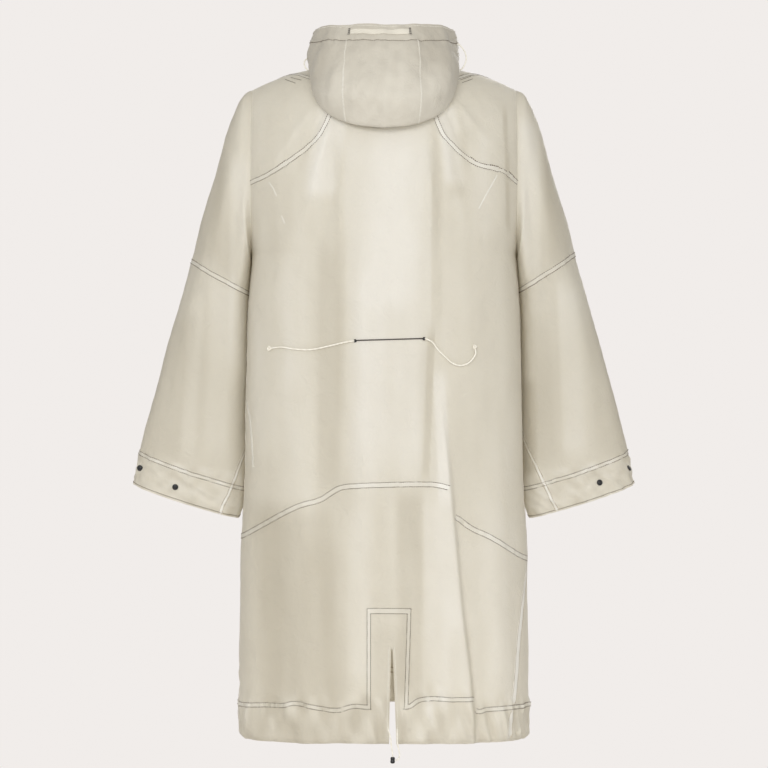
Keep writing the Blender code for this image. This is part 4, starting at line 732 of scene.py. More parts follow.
        flat = blend_patch(
            centre_line, outer_line,
            lambda p: self.neck_run(side, math.degrees(turn), self.neck_front_seam, p),
            chest_line, u, v)
        return form.shoulder_surface(flat[..., 0], flat[..., 1])

    def front(self, side: int) -> Surface:
        """Front: v 0 to 1 its top, 1 to 2 level rows, 2 to 3 down to the hem band."""
        def surface(u: Array, v: Array) -> Array:
            """Point of the front."""
            level = self.chest_z + (self.vent_top_z - self.chest_z) * np.clip(v - 1, 0, 1)
            hem = self.form.hem_height(self.front_angle(side, u, np.full_like(u, -1.05)))
            foot = hem + self.form.hem_band
            low = self.vent_top_z + (foot - self.vent_top_z) * np.clip(v - 2.0, 0.0, 1.0)
            z = np.where(v > 2.0, low, level)
            body = self.form.ring_surface(self.front_angle(side, u, z), z)
            top = self.front_top(side, u, np.clip(v, 0.0, 1.0))
            return np.where((v < 1.0)[..., None], top, body)
        return surface

    def hem_front(self, side: int) -> Surface:
        """Hem band of one front."""
        def surface(u: Array, v: Array) -> Array:
            """Point of the hem band."""
            hem = self.form.hem_height(self.front_angle(side, u, np.full_like(u, -1.05)))
            z = hem + self.form.hem_band * (1 - v)
            return self.form.ring_surface(self.front_angle(side, u, z), z)
        return surface

    def placket(self, u: Array, v: Array) -> Array:
        """Covered placket from the neckline to the front hem."""
        form = self.form
        x = self.placket_half_width * (2 * u - 1)
        share = (np.abs(x) / form.neck_half_width) ** form.neck_power
        start = form.place_from_depth(x, form.neck_front * (1 - share) ** (1 / form.neck_power))
        hem = np.full_like(u, form.hem_z + form.front_hem_rise)
        low = form.place_from_height(x, hem, True)
        return form.shoulder_surface(x, start + (low - start) * v)


@dataclass(frozen=True)
class SleeveForm:
    """One sleeve: rings between an outer and an inner edge, swept from armhole to cuff."""

    side: int
    body: BodyForm = BodyForm()
    power: float = 2.7
    inner_power: float = 3.4
    cuff_ring: float = 9.0
    end_ring: float = 10.0
    # outer x, outer z, inner x, inner z, depth behind, depth in front, bow, hang forward
    rings: Rows = (
        (0.2285, -0.0275, 0.2285, -0.3130, 0.086, 0.079, 0.000, 0.000),
        (0.2434, -0.0379, 0.2303, -0.3164, 0.088, 0.080, 0.000, 0.004),
        (0.2590, -0.0669, 0.2318, -0.3226, 0.091, 0.082, 0.000, 0.010),
        (0.2765, -0.1116, 0.2321, -0.3314, 0.094, 0.084, 0.000, 0.018),
        (0.2955, -0.1808, 0.2332, -0.3472, 0.096, 0.085, 0.001, 0.027),
        (0.3179, -0.2503, 0.2342, -0.3630, 0.094, 0.084, 0.002, 0.034),
        (0.3357, -0.3217, 0.2348, -0.3790, 0.090, 0.080, 0.003, 0.040),
        (0.3658, -0.4247, 0.2365, -0.4544, 0.080, 0.072, 0.004, 0.046),
        (0.3951, -0.5297, 0.2365, -0.5562, 0.065, 0.060, 0.006, 0.051),
        (0.4277, -0.6542, 0.2407, -0.7166, 0.046, 0.044, 0.008, 0.055),
        (0.4384, -0.7103, 0.2529, -0.7682, 0.041, 0.039, 0.007, 0.057),
    )
    # fine folds: top angle, top ring, foot angle, foot ring, half width, depth (degrees, metres)
    folds: Rows = (
        (62.0, 0.6, 78.0, 6.5, 11.0, 0.0022),
        (96.0, 0.8, 104.0, 7.5, 12.0, -0.0024),
        (128.0, 1.5, 126.0, 8.8, 10.0, 0.0022),
        (152.0, 2.2, 150.0, 9.4, 8.0, -0.0020),
        (40.0, 3.0, 48.0, 9.2, 9.0, -0.0014),
        (84.0, 6.6, 92.0, 10.2, 10.0, 0.0018),
        (112.0, 7.4, 116.0, 10.2, 8.0, -0.0016),
        (-70.0, 0.8, -80.0, 7.0, 13.0, 0.0024),
        (-110.0, 0.8, -112.0, 8.5, 13.0, -0.0024),
        (-145.0, 2.0, -142.0, 9.2, 10.0, 0.0020),
        (-45.0, 5.0, -52.0, 9.6, 10.0, -0.0016),
    )

    # distance from the centre, height: bands of painted light and painted shade as on the body (-1
    # behind, 1 in front)
    painted_light_left: Rows = (
        (0.248, -0.120, 0.252, -0.560, 0.020, 0.016, 0.60, -1),
        (0.292, -0.120, 0.300, -0.340, 0.018, 0.030, -0.45, -1),
        (0.272, -0.330, 0.290, -0.680, 0.016, 0.026, 0.55, -1),
        (0.345, -0.400, 0.385, -0.690, 0.026, 0.040, -0.45, -1),
        (0.322, -0.360, 0.345, -0.680, 0.014, 0.012, 0.30, -1),
        (0.280, -0.120, 0.330, -0.700, 0.030, 0.040, 0.30, 1),
        (0.310, -0.150, 0.400, -0.700, 0.020, 0.030, -0.40, 1),
    )
    painted_light_right: Rows = (
        (0.250, -0.060, 0.254, -0.380, 0.020, 0.018, 0.75, -1),
        (0.290, -0.120, 0.300, -0.350, 0.016, 0.022, -0.60, -1),
        (0.308, -0.340, 0.325, -0.690, 0.012, 0.030, 0.70, -1),
        (0.262, -0.400, 0.280, -0.700, 0.014, 0.022, -0.30, -1),
        (0.378, -0.360, 0.400, -0.690, 0.030, 0.030, -0.50, -1),
        # painted shadow between the sleeve and the body
        (0.250, -0.520, 0.254, -0.720, 0.016, 0.012, -0.90, -1),
        (0.275, -0.120, 0.330, -0.700, 0.030, 0.040, 0.30, 1),
        (0.305, -0.150, 0.395, -0.700, 0.020, 0.030, -0.40, 1),
    )
    nearer: float = 0.0014

    @property
    def elbow_ring(self) -> float:
        """Ring number of the seam across the elbow."""
        return 6.0 if self.side < 0 else 5.86

    def plain(self, angle: Array, ring: Array) -> Array:
        """Plain ring point: superellipse between the edges, with the armhole's section at 0."""
        angle, ring = np.broadcast_arrays(np.asarray(angle, float), np.asarray(ring, float))
        columns = [smooth_table([(n, row[i]) for n, row in enumerate(self.rings)], ring)
                   for i in range(8)]
        outer_x, outer_z, inner_x, inner_z, behind, before, bow, forward = columns
        inner_x = inner_x - self.nearer * ease((ring - 1.0) / 1.5) * ease((8.5 - ring) / 1.5)
        radius = oval_radius(angle, np.where(np.cos(angle) < 0, self.inner_power, self.power))
        along = radius * np.cos(angle)
        x = (outer_x + inner_x) / 2 + (outer_x - inner_x) / 2 * along
        z = (outer_z + inner_z) / 2 + (outer_z - inner_z) / 2 * along
        back = np.sin(angle) > 0
        y = forward - np.where(back, behind, before) * radius * np.sin(angle)
        body = self.body
        hole_x = np.full_like(z, body.armhole_x)
        hole_z = np.clip(z, body.armpit_z + 1e-6, body.ridge_height(hole_x) - 1e-6)
        level = np.clip((hole_z - body.ridge_height(hole_x)) / body.shoulder_round + 1, 0, 1)
        rounding = (1 - level ** body.shoulder_power) ** (1 / body.shoulder_power)
        hole_y = np.where(back, -1, 1) * body.depth_at(hole_x, hole_z, ~back) * rounding
        y = hole_y + (y - hole_y) * ease(ring / 2.5)
        z = z - bow * np.abs(np.sin(angle))
        return np.stack([self.side * x, y, z], axis=-1)

    def painted_light(self, points: Array) -> Array:
        """Painted light and shade on the sleeve's cloth: its bands, long streaks, and a paler
        cuff.
        """
        x, y, z = np.abs(points[..., 0]), points[..., 1], points[..., 2]
        rows = self.painted_light_left if self.side < 0 else self.painted_light_right
        # the whole sleeve painted darker, then its bands of painted light and shade
        total = -0.42 + band_light(rows, x, y - 0.04 * ease(-z / 0.4), z)
        # paler cuff, with uneven painted light and shade over its crinkles
        cuff = ease((-0.655 - (0.44 - x) * 0.17 - z) / 0.01)
        total += 0.16 * Ripple(63, 0.080)(x - z * 0.1, y, z * 0.15)
        return total + cuff * (0.30 + 0.34 * Ripple(64, 0.024)(x, y, z))

    def surface(self, angle: Array, ring: Array) -> Array:
        """Finished surface: the plain form pushed out by folds, puckers and the cuff's edge."""
        angle, ring = np.broadcast_arrays(np.asarray(angle, float), np.asarray(ring, float))
        point = self.plain(angle, ring)
        along_a, along_r = slopes_of(self.plain, angle, ring, 2e-3)
        out = unit(np.cross(along_a, along_r)) * self.side
        degrees = np.degrees(np.arctan2(np.sin(angle), np.cos(angle)))
        push = np.zeros_like(degrees)
        for top, top_ring, foot, foot_ring, width, depth in self.folds:
            down = (ring - top_ring) / (foot_ring - top_ring)
            centre = top + (foot - top) * np.clip(down, 0, 1) + 3.0 * np.sin(ring * 1.3 + top)
            fade = ease(down / 0.3) * ease((1.1 - down) / 0.4)
            push += depth * np.exp(-((degrees - centre) / width) ** 2) * fade
        x, y, z = point[..., 0], point[..., 1], point[..., 2]
        push += 0.00055 * Ripple(31 + self.side, 0.070)(x, y, z * 0.5)
        push += 0.00022 * Ripple(33 + self.side, 0.027)(x, y, z)
        slant = x * 0.6 + z
        across = Ripple(35 + self.side, 0.022)(slant, y) + 0.5 * Ripple(37, 0.011)(x, z, y)
        push += 0.0014 * ease((ring - 8.8) / 0.25) * across
        push += 0.0005 * np.exp(-((ring - self.elbow_ring) / 0.16) ** 2) * Ripple(39, 0.016)(x, y)
        inner = ease((self.side * x - (body_clear(z, self.body) + 0.0045)) / 0.012)
        armhole = ease(ring / 0.5)
        return point + out * (push * inner * armhole)[..., None]


def body_clear(z: Array, body: BodyForm) -> Array:
    """Distance from the centre that the body reaches at a height."""
    return body.half_width(np.minimum(z, body.armpit_z))


@dataclass(frozen=True)
class HoodForm:
    """The folded hood: profiles from the neckline out under the pouch and up to the brim."""

    body: BodyForm = BodyForm()
    levels: Sequence[float] = (0.0, 0.14, 0.28, 0.42, 0.56, 0.80, 1.0)
    under_lift: float = 0.0012
    under_rise: float = 0.0035
    # station, bottom x y z, bulge x y z, upper x y z, brim x y z
    stations: Rows = (
        (0.00, 0.000, -0.180, -0.1050, 0.000, -0.207, -0.058, 0.000, -0.186, 0.018,
         0.000, -0.152, 0.0725),
        (0.12, 0.052, -0.171, -0.0985, 0.056, -0.198, -0.052, 0.053, -0.177, 0.021,
         0.048, -0.145, 0.0732),
        (0.24, 0.097, -0.148, -0.0775, 0.1055, -0.166, -0.036, 0.102, -0.142, 0.028,
         0.094, -0.114, 0.0744),
        (0.36, 0.1205, -0.119, -0.0400, 0.1262, -0.118, -0.012, 0.1245, -0.094, 0.036,
         0.1165, -0.075, 0.0714),
        (0.48, 0.1250, -0.060, 0.0070, 0.1275, -0.062, 0.020, 0.1258, -0.048, 0.046,
         0.1205, -0.030, 0.0708),
        (0.60, 0.1160, 0.030, 0.0180, 0.1210, 0.032, 0.028, 0.1210, 0.034, 0.048,
         0.1150, 0.036, 0.0700),
        (0.72, 0.0860, 0.078, 0.0060, 0.0930, 0.083, 0.018, 0.0960, 0.084, 0.042,
         0.0910, 0.080, 0.0680),
        (0.84, 0.0560, 0.118, -0.0200, 0.0620, 0.125, -0.005, 0.0640, 0.126, 0.024,
         0.0600, 0.120, 0.0600),
        (1.00, 0.0030, 0.134, -0.0330, 0.0030, 0.142, -0.016, 0.0030, 0.143, 0.010,
         0.0030, 0.138, 0.0480),
    )

    def controls(self, station: Array) -> list[Array]:
        """Seven control points of the profile at each station."""
        side = np.where(station < 0, -1.0, 1.0)
        key = np.abs(station)
        columns = [smooth_table(self.stations, key, i) for i in range(1, 13)]
        rings = [np.stack([side * columns[3 * i], columns[3 * i + 1], columns[3 * i + 2]], -1)
                 for i in range(4)]
        neck = self.body.neck_place(key * math.radians(178.6))
        start_x = np.maximum(neck[..., 0], 0.003)
        end_x, end_y, end_z = columns[0], columns[1], columns[2]
        behind = self.body.place_from_height(end_x, end_z, False)
        above = self.body.place_from_depth(end_x, np.clip(end_y, -0.12, 0.120))
        end_place = behind + (above - behind) * ease((key - 0.40) / 0.15)
        ring = np.stack([end_x, end_y, end_z], axis=-1)
        under = []
        base = ring
        for share in (0.0, 0.34, 0.67):
            x = start_x + (end_x - start_x) * share
            place = neck[..., 1] + (end_place - neck[..., 1]) * share
            along_x, along_p = slopes_of(self.body.over_shoulder, x, place)
            lift = self.under_lift + self.under_rise * share
            point = self.body.over_shoulder(x, place) + unit(np.cross(along_x, along_p)) * lift
            base = point if share == 0.0 else base
            front = ease((key - 0.58) / 0.16)[..., None]
            point = point + (base + (ring - base) * share - point) * front
            under.append(np.stack([side * point[..., 0], point[..., 1], point[..., 2]], -1))
        return under + rings

    def plain(self, station: Array, level: Array) -> Array:
        """Point on the smooth curve (cubic between control points) of the profile."""
        station, level = np.broadcast_arrays(np.asarray(station, float), np.asarray(level, float))
        points = self.controls(station)
        keys = self.levels
        index = np.clip(np.searchsorted(keys, level, side="right") - 1, 0, len(keys) - 2)
        result = np.zeros(station.shape + (3,))
        for i in range(len(keys) - 1):
            step = keys[i + 1] - keys[i]
            low, high = max(i - 1, 0), min(i + 2, len(points) - 1)
            part = np.clip((level - keys[i]) / step, 0.0, 1.0)[..., None]
            start, leave, end, reach = cubic(part)
            slope_low = (points[i + 1] - points[low]) / (keys[i + 1] - keys[low]) * step
            slope_high = (points[high] - points[i]) / (keys[high] - keys[i]) * step
            value = (start * points[i] + leave * slope_low + end * points[i + 1]
                     + reach * slope_high)
            result = np.where((index == i)[..., None], value, result)
        return result

    def painted_light(self, points: Array) -> Array:
        """Painted light and shade: darker towards the brim and the sides, partly for the doubled
        layers and partly as painted shade.
        """
        x, y, z = points[..., 0], points[..., 1], points[..., 2]
        total = -0.80 + 0.55 * ease((0.045 - z) / 0.12)
        # painted shade at the sides and in a strip right of the centre
        total -= 0.55 * ease((np.abs(x - 0.004) - 0.070) / 0.055) * ease((z + 0.09) / 0.08)
        total -= 0.40 * np.exp(-((x - 0.080) / 0.030) ** 2) * ease((z + 0.02) / 0.04)
        # painted highlight along the hood's lower edge
        total += 0.20 * np.exp(-((z + 0.100) / 0.012) ** 2)
        return total + 0.07 * Ripple(65, 0.050)(x, y * 0.5, z) + 0.07 * Ripple(66, 0.020)(x, y, z)

    def surface(self, station: Array, level: Array) -> Array:
        """Finished hood: soft dents above the fold and puckers along the brim's stitching."""
        station, level = np.broadcast_arrays(np.asarray(station, float), np.asarray(level, float))
        point = self.plain(station, level)
        along_s, along_l = slopes_of(self.plain, station, np.clip(level, 1e-3, 1 - 1e-3), 4e-4)
        out = unit(np.cross(along_s, along_l))
        x, y, z = point[..., 0], point[..., 1], point[..., 2]
        free = ease((level - 0.44) / 0.12)
        push = 0.0020 * Ripple(51, 0.075)(x, y, z * 1.2) * free
        push += 0.00080 * Ripple(52, 0.030)(x * 0.9, y, z * 1.6) * free
        brim = np.exp(-((level - 0.885) / 0.05) ** 2)
        push += 0.0008 * brim * Ripple(53, 0.017)(x, y, z * 0.4)
        push -= 0.0012 * np.exp(-((level - 0.895) / 0.012) ** 2)
        ends = ease((1.0 - np.abs(station)) / 0.05)
        return point + out * (push * ends)[..., None]


# ---------------------------------------------------------------- paths on surfaces
@dataclass
class SurfacePath:
    """A line drawn on a surface by close samples of its two parameters."""

    surface: Surface
    a: Array
    b: Array
    facing: int = 1
    mitre: tuple[float, float] = (0.0, 0.0)
    margin: float = 0.0
    length: float = field(init=False)
    cumulated: Array = field(init=False)

    def __post_init__(self) -> None:
        """Measure the line: lengths between samples, summed, without the margin at each end."""
        points = self.surface(self.a, self.b)
        runs = np.linalg.norm(np.diff(points, axis=0), axis=1)
        self.cumulated = np.concatenate([[0.0], np.cumsum(runs)]) - self.margin
        self.length = float(self.cumulated[-1]) - self.margin

    def ends(self, offset: Array) -> tuple[Array, Array]:
        """First and last distance of a line beside the path, with its ends cut to the mitre."""
        return offset * self.mitre[0], self.length - offset * self.mitre[1]

    def at(self, distance: Array, offset: Array | float = 0.0) -> tuple[Array, Array, Array]:
        """Points beside the line, their outward normals and the line's directions.

        The offset is turned into parameter steps by least squares on the two slopes, so the
        points stay on the surface.

        Args:
            distance: Distances along the line.
            offset: Distances to the left of the line, seen from outside.

        Returns:
            Points, unit normals and unit tangents.
        """
        distance, offset = np.broadcast_arrays(np.asarray(distance, float),
                                               np.asarray(offset, float))
        a = np.interp(distance, self.cumulated, self.a)
        b = np.interp(distance, self.cumulated, self.b)
        step = 5e-4
        ahead = np.interp(distance + step, self.cumulated, self.a)
        ahead_b = np.interp(distance + step, self.cumulated, self.b)
        behind = np.interp(distance - step, self.cumulated, self.a)
        behind_b = np.interp(distance - step, self.cumulated, self.b)
        along = unit(self.surface(ahead, ahead_b) - self.surface(behind, behind_b))
        slope_a, slope_b = slopes_of(self.surface, a, b, 2e-4)
        normal = unit(np.cross(slope_a, slope_b)) * self.facing
        aside = unit(np.cross(normal, along)) * offset[..., None]
        aa = np.sum(slope_a * slope_a, -1)
        bb = np.sum(slope_b * slope_b, -1)
        ab = np.sum(slope_a * slope_b, -1)
        ra = np.sum(slope_a * aside, -1)
        rb = np.sum(slope_b * aside, -1)
        under = np.maximum(aa * bb - ab * ab, 1e-16)
        point = self.surface(a + (bb * ra - ab * rb) / under, b + (aa * rb - ab * ra) / under)
        return point, normal, along


@dataclass
class MeshParts:
    """Vertices, quads and texture coordinates collected for one joined mesh."""

    vertices: list[Array] = field(default_factory=list)
    quads: list[Array] = field(default_factory=list)
    uvs: list[Array] = field(default_factory=list)
    lights: list[Array] = field(default_factory=list)
    count: int = 0

    def add(self, vertices: Array, quads: Array, uvs: Array, light: Array | None = None) -> None:
        """Append a block of vertices with quads numbered from its first vertex."""
        self.vertices.append(vertices.reshape(-1, 3))
        self.quads.append(quads + self.count)
        self.uvs.append(uvs.reshape(-1, 2))
        number = len(self.vertices[-1])
        self.lights.append(np.zeros(number) if light is None else light.reshape(-1))
        self.count += number

    def build(self, name: str, material: bpy.types.Material, sharp: float = 50.0,
              ) -> bpy.types.Object:
        """Write the mesh in whole arrays and link its object.

        Args:
            name: Name of the object.
            material: Its material.
            sharp: Edges bent more than this many degrees are shaded sharp.

        Returns:
            The new object.
        """
        vertices = np.concatenate(self.vertices)
        quads = np.concatenate(self.quads)
        uvs = np.concatenate(self.uvs)
        mesh = bpy.data.meshes.new(name)
        mesh.vertices.add(len(vertices))
        mesh.vertices.foreach_set("co", vertices.astype(np.float32).ravel())
        mesh.loops.add(quads.size)
        mesh.loops.foreach_set("vertex_index", quads.astype(np.int32).ravel())
        mesh.polygons.add(len(quads))
        mesh.polygons.foreach_set("loop_start", np.arange(0, quads.size, 4, dtype=np.int32))
        mesh.update(calc_edges=True)
        layer = mesh.uv_layers.new(name="Grain")
        layer.uv.foreach_set("vector", uvs[quads.ravel()].astype(np.float32).ravel())
        # painted light and shade of each vertex, read by the cloth's base colour
        painted_light = mesh.attributes.new(PAINTED_LIGHT_NAME, "FLOAT", "POINT")
        painted_light.data.foreach_set("value", np.concatenate(self.lights).astype(np.float32))
        mesh.validate()
        mesh.shade_smooth()
        mesh.set_sharp_from_angle(angle=math.radians(sharp))
        mesh.materials.append(material)
        obj = bpy.data.objects.new(name, mesh)
        bpy.context.scene.collection.objects.link(obj)
        log.info("%s: %d faces", name, len(quads))
        return obj


def grid_quads(rows: int, columns: int, wrap: bool = False, flip: bool = False) -> Array:
    """Quads of a grid of vertices numbered row by row.

    Args:
        rows, columns: Number of vertices down and across.
        wrap: Whether the last column joins the first.
        flip: Whether the faces turn over.

    Returns:
        Vertex numbers of the quads.
    """
    i, j = np.meshgrid(np.arange(rows - 1), np.arange(columns if wrap else columns - 1),
                       indexing="ij")
    right = (j + 1) % columns
    corners = np.stack([i * columns + j, i * columns + right, (i + 1) * columns + right,
                        (i + 1) * columns + j], axis=-1).reshape(-1, 4)
    return corners[:, ::-1] if flip else corners


def grid_normals(points: Array, wrap: bool, flip: bool) -> Array:
    """Normals of a grid: the cross product of its differences across and down."""
    if wrap:
        across = np.roll(points, -1, axis=1) - np.roll(points, 1, axis=1)
    else:
        across = np.gradient(points, axis=1)
    normal = unit(np.cross(across, np.gradient(points, axis=0)))
    return -normal if flip else normal


@dataclass(frozen=True)
class Cut:
    """Size of a piece of cloth when it lies flat."""

    width: float
    length: float
    area: float


@dataclass
class Shell:
    """A thin closed shell of cloth on a grid of a surface."""

    surface: Surface
    us: Array
    vs: Array
    wrap: bool = False
    flip: bool = False
    keep: Array | None = None
    wall: float = CLOTH_WALL
    lift: float = 0.0
    # painted light and shade at each point of the shell
    painted_light: Callable[[Array], Array] | None = None

    def build(self, name: str, material: bpy.types.Material) -> tuple[bpy.types.Object, Cut]:
        """Make the shell: the outer grid, a copy one wall inside it, and a rim round each edge.

        Args:
            name: Name of the object.
            material: Its material.

        Returns:
            The object and the cut of its cloth.
        """
        columns = self.us[:-1] if self.wrap else self.us
        u, v = np.meshgrid(columns, self.vs)
        outer = self.surface(u, v)
        normal = grid_normals(outer, self.wrap, self.flip)
        outer = outer + normal * self.lift
        inner = outer - normal * self.wall
        rows, count = u.shape
        cells = (rows - 1, len(self.us) - 1)
        keep = np.ones(cells, dtype=bool) if self.keep is None else self.keep
        quads = grid_quads(rows, count, self.wrap, not self.flip)[keep.ravel()]
        half = rows * count
        parts = [quads, quads[:, ::-1] + half, self._rim(keep, rows, count)]
        if not self.flip:
            parts[2] = parts[2][:, ::-1]
        closed = np.concatenate([outer, outer[:, :1]], axis=1) if self.wrap else outer
        across = np.linalg.norm(np.diff(closed, axis=1), axis=-1)
        down = np.linalg.norm(np.diff(outer, axis=0), axis=-1)
        row_length = np.concatenate([np.zeros((rows, 1)), np.cumsum(across, axis=1)], axis=1)
        row_length = row_length[:, :count] - row_length[:, [count // 2]]
        depth = np.concatenate([np.zeros((1, count)), np.cumsum(down, axis=0)], axis=0)
        uvs = np.stack([row_length, np.broadcast_to(depth.mean(1, keepdims=True), depth.shape)],
                       axis=-1)
        mesh = MeshParts()
        # painted light and shade of the outer grid, copied to the inner one
        light = np.zeros(outer.shape[:2]) if self.painted_light is None else self.painted_light(outer)
        mesh.add(np.concatenate([outer.reshape(-1, 3), inner.reshape(-1, 3)]),
                 np.concatenate(parts), np.concatenate([uvs.reshape(-1, 2)] * 2),
                 np.concatenate([light.ravel()] * 2))
        obj = mesh.build(name, material)
        cell = 0.5 * np.linalg.norm(np.cross(
            closed[1:, 1:] - closed[:-1, :-1], closed[1:, :-1] - closed[:-1, 1:]), axis=-1)
        width = float(across.sum(axis=1).max())
        length = float(down.sum(axis=0).max())
        area = float(cell[keep].sum())
        return obj, Cut(round(width, 4), round(length, 4), round(area, 5))

    def _rim(self, keep: Array, rows: int, count: int) -> Array:
        """Quads between outer and inner grid along every open edge of the kept cells."""
        half = rows * count
        i, j = np.meshgrid(np.arange(keep.shape[0]), np.arange(keep.shape[1]), indexing="ij")
        right = (j + 1) % count
        corner = {"a": i * count + j, "b": i * count + right,
                  "c": (i + 1) * count + right, "d": (i + 1) * count + j}
        pad = np.pad(keep, 1, constant_values=False)
        open_top, open_foot = ~pad[:-2, 1:-1], ~pad[2:, 1:-1]
        open_left, open_right = ~pad[1:-1, :-2], ~pad[1:-1, 2:]
        if self.wrap:
            open_left = open_right = np.zeros_like(keep)
        rims = []
        for is_open, first, second in ((open_top, "a", "b"), (open_foot, "c", "d"),
                                       (open_left, "d", "a"), (open_right, "b", "c")):
            at = keep & is_open
            one, two = corner[first][at], corner[second][at]
            rims.append(np.stack([one, two, two + half, one + half], axis=-1))
        return np.concatenate(rims)


# ---------------------------------------------------------------- sewing
class Thread(Enum):
    """Threads that the garment is sewn with."""

    BROWN = "brown"
    TAN = "tan"
    PALE = "pale"
    DARK = "dark"


@dataclass(frozen=True)
class Stitch:
    """Sizes of a row of stitches."""

    length: float = 0.0031
    pitch: float = 0.0037
    width: float = 0.0012
    height: float = 0.00045


@dataclass(frozen=True)
class Felling:
    """A flat-felled seam: a raised band of folded cloth between two rows of stitches."""

    width: float = 0.0095
    height: float = 0.00055
    edge: float = 0.0009
    spacing: float = 0.003


@dataclass
class Sewing:
    """Collects the bands and threads of one part of the garment."""

    stitch: Stitch = Stitch()
    felling: Felling = Felling()
    # painted light and shade of the cloth under the bands
    painted_light: Callable[[Array], Array] | None = None
    bands: MeshParts = field(default_factory=MeshParts)
    threads: dict[Thread, MeshParts] = field(
        default_factory=lambda: {kind: MeshParts() for kind in Thread})

    def band(self, path: SurfacePath, width: float | None = None, height: float | None = None,
             offset: float = 0.0, bright: float = 0.0) -> None:
        """Raised band: seven points across with sunk edges, puckered along its length.

        Args:
            path: Line that the band follows.
            width: Width of the band.
            height: How far it stands up from the cloth.
            offset: Distance of its middle from the line.
            bright: Painted light added to the band's painted light and shade.
        """
        width = self.felling.width if width is None else width
        height = self.felling.height if height is None else height
        count = max(4, int(path.length / self.felling.spacing))
        distance = np.linspace(0.0, path.length, count)
        share = np.array([-1.0, -0.96, -0.55, 0.0, 0.55, 0.96, 1.0])
        rise = np.array([-0.0004, 0.75, 1.0, 0.85, 1.0, 0.75, -0.0004])
        rise = np.where(rise > 0, rise * height, rise)
        along, across = np.meshgrid(distance, share * width / 2 + offset, indexing="ij")
        first, last = path.ends(across)
        along = first + along / path.length * (last - first)
        point, normal, _ = path.at(along, across)
        # painted light and shade of the band, lightened by bright
        light = None if self.painted_light is None else self.painted_light(point) + bright
        x, y, z = point[..., 0], point[..., 1], point[..., 2]
        pucker = 0.00022 * Ripple(71, 0.011)(x, y, z) * (rise > 0)
        point = point + normal * (rise + pucker)[..., None]
        uvs = np.stack([along, across], axis=-1)
        self.bands.add(point, grid_quads(count, len(share)), uvs, light)

    def run(self, path: SurfacePath, offset: float = 0.0, kind: Thread = Thread.BROWN,
            lift: float = 0.0005, scale: float = 1.0) -> None:
        """Row of stitches: each a little arch, three points across and four along.

        Args:
            path: Line that the row follows.
            offset: Distance of the row from the line.
            kind: Thread used.
            lift: Height of the cloth under the row above the surface.
            scale: Factor on the stitch's width and height.
        """
        start, end = (float(value) for value in path.ends(np.array(offset)))
        count = max(1, int((end - start) / self.stitch.pitch))
        middle = start + (np.arange(count) + 0.5) * (end - start) / count
        along = np.array([-0.5, -0.32, 0.32, 0.5]) * self.stitch.length
        rise = np.array([-0.15, 0.85, 0.85, -0.15]) * self.stitch.height * scale
        across = np.array([-0.5, 0.0, 0.5]) * self.stitch.width * scale
        crown = np.array([-0.6, 0.25, -0.6]) * self.stitch.height * scale
        taper = np.array([0.45, 1.0, 1.0, 0.45])
        wander = 0.00012 * np.sin(middle * 310.0 + offset * 900.0)
        place = middle[:, None, None] + along[None, :, None]
        aside = offset + wander[:, None, None] + across[None, None, :] * taper[None, :, None]
        place, aside = np.broadcast_arrays(place, aside)
        point, normal, _ = path.at(place, aside)
        up = lift + rise[None, :, None] + crown[None, None, :]
        point = point + normal * np.broadcast_to(up, place.shape)[..., None]
        quads = grid_quads(4, 3)[None] + (np.arange(count) * 12)[:, None, None]
        uvs = np.stack([place, aside], axis=-1)
        self.threads[kind].add(point, quads.reshape(-1, 4), uvs)

    def felled(self, path: SurfacePath, kind: Thread = Thread.BROWN,
               width: float | None = None, offset: float = 0.0, bright: float = 0.15) -> None:
        """Band with a row of stitches near each edge."""
        width = self.felling.width if width is None else width
        self.band(path, width, offset=offset, bright=bright)
        aside = width / 2 - self.felling.edge
        self.run(path, offset + aside, kind)
        self.run(path, offset - aside, kind)


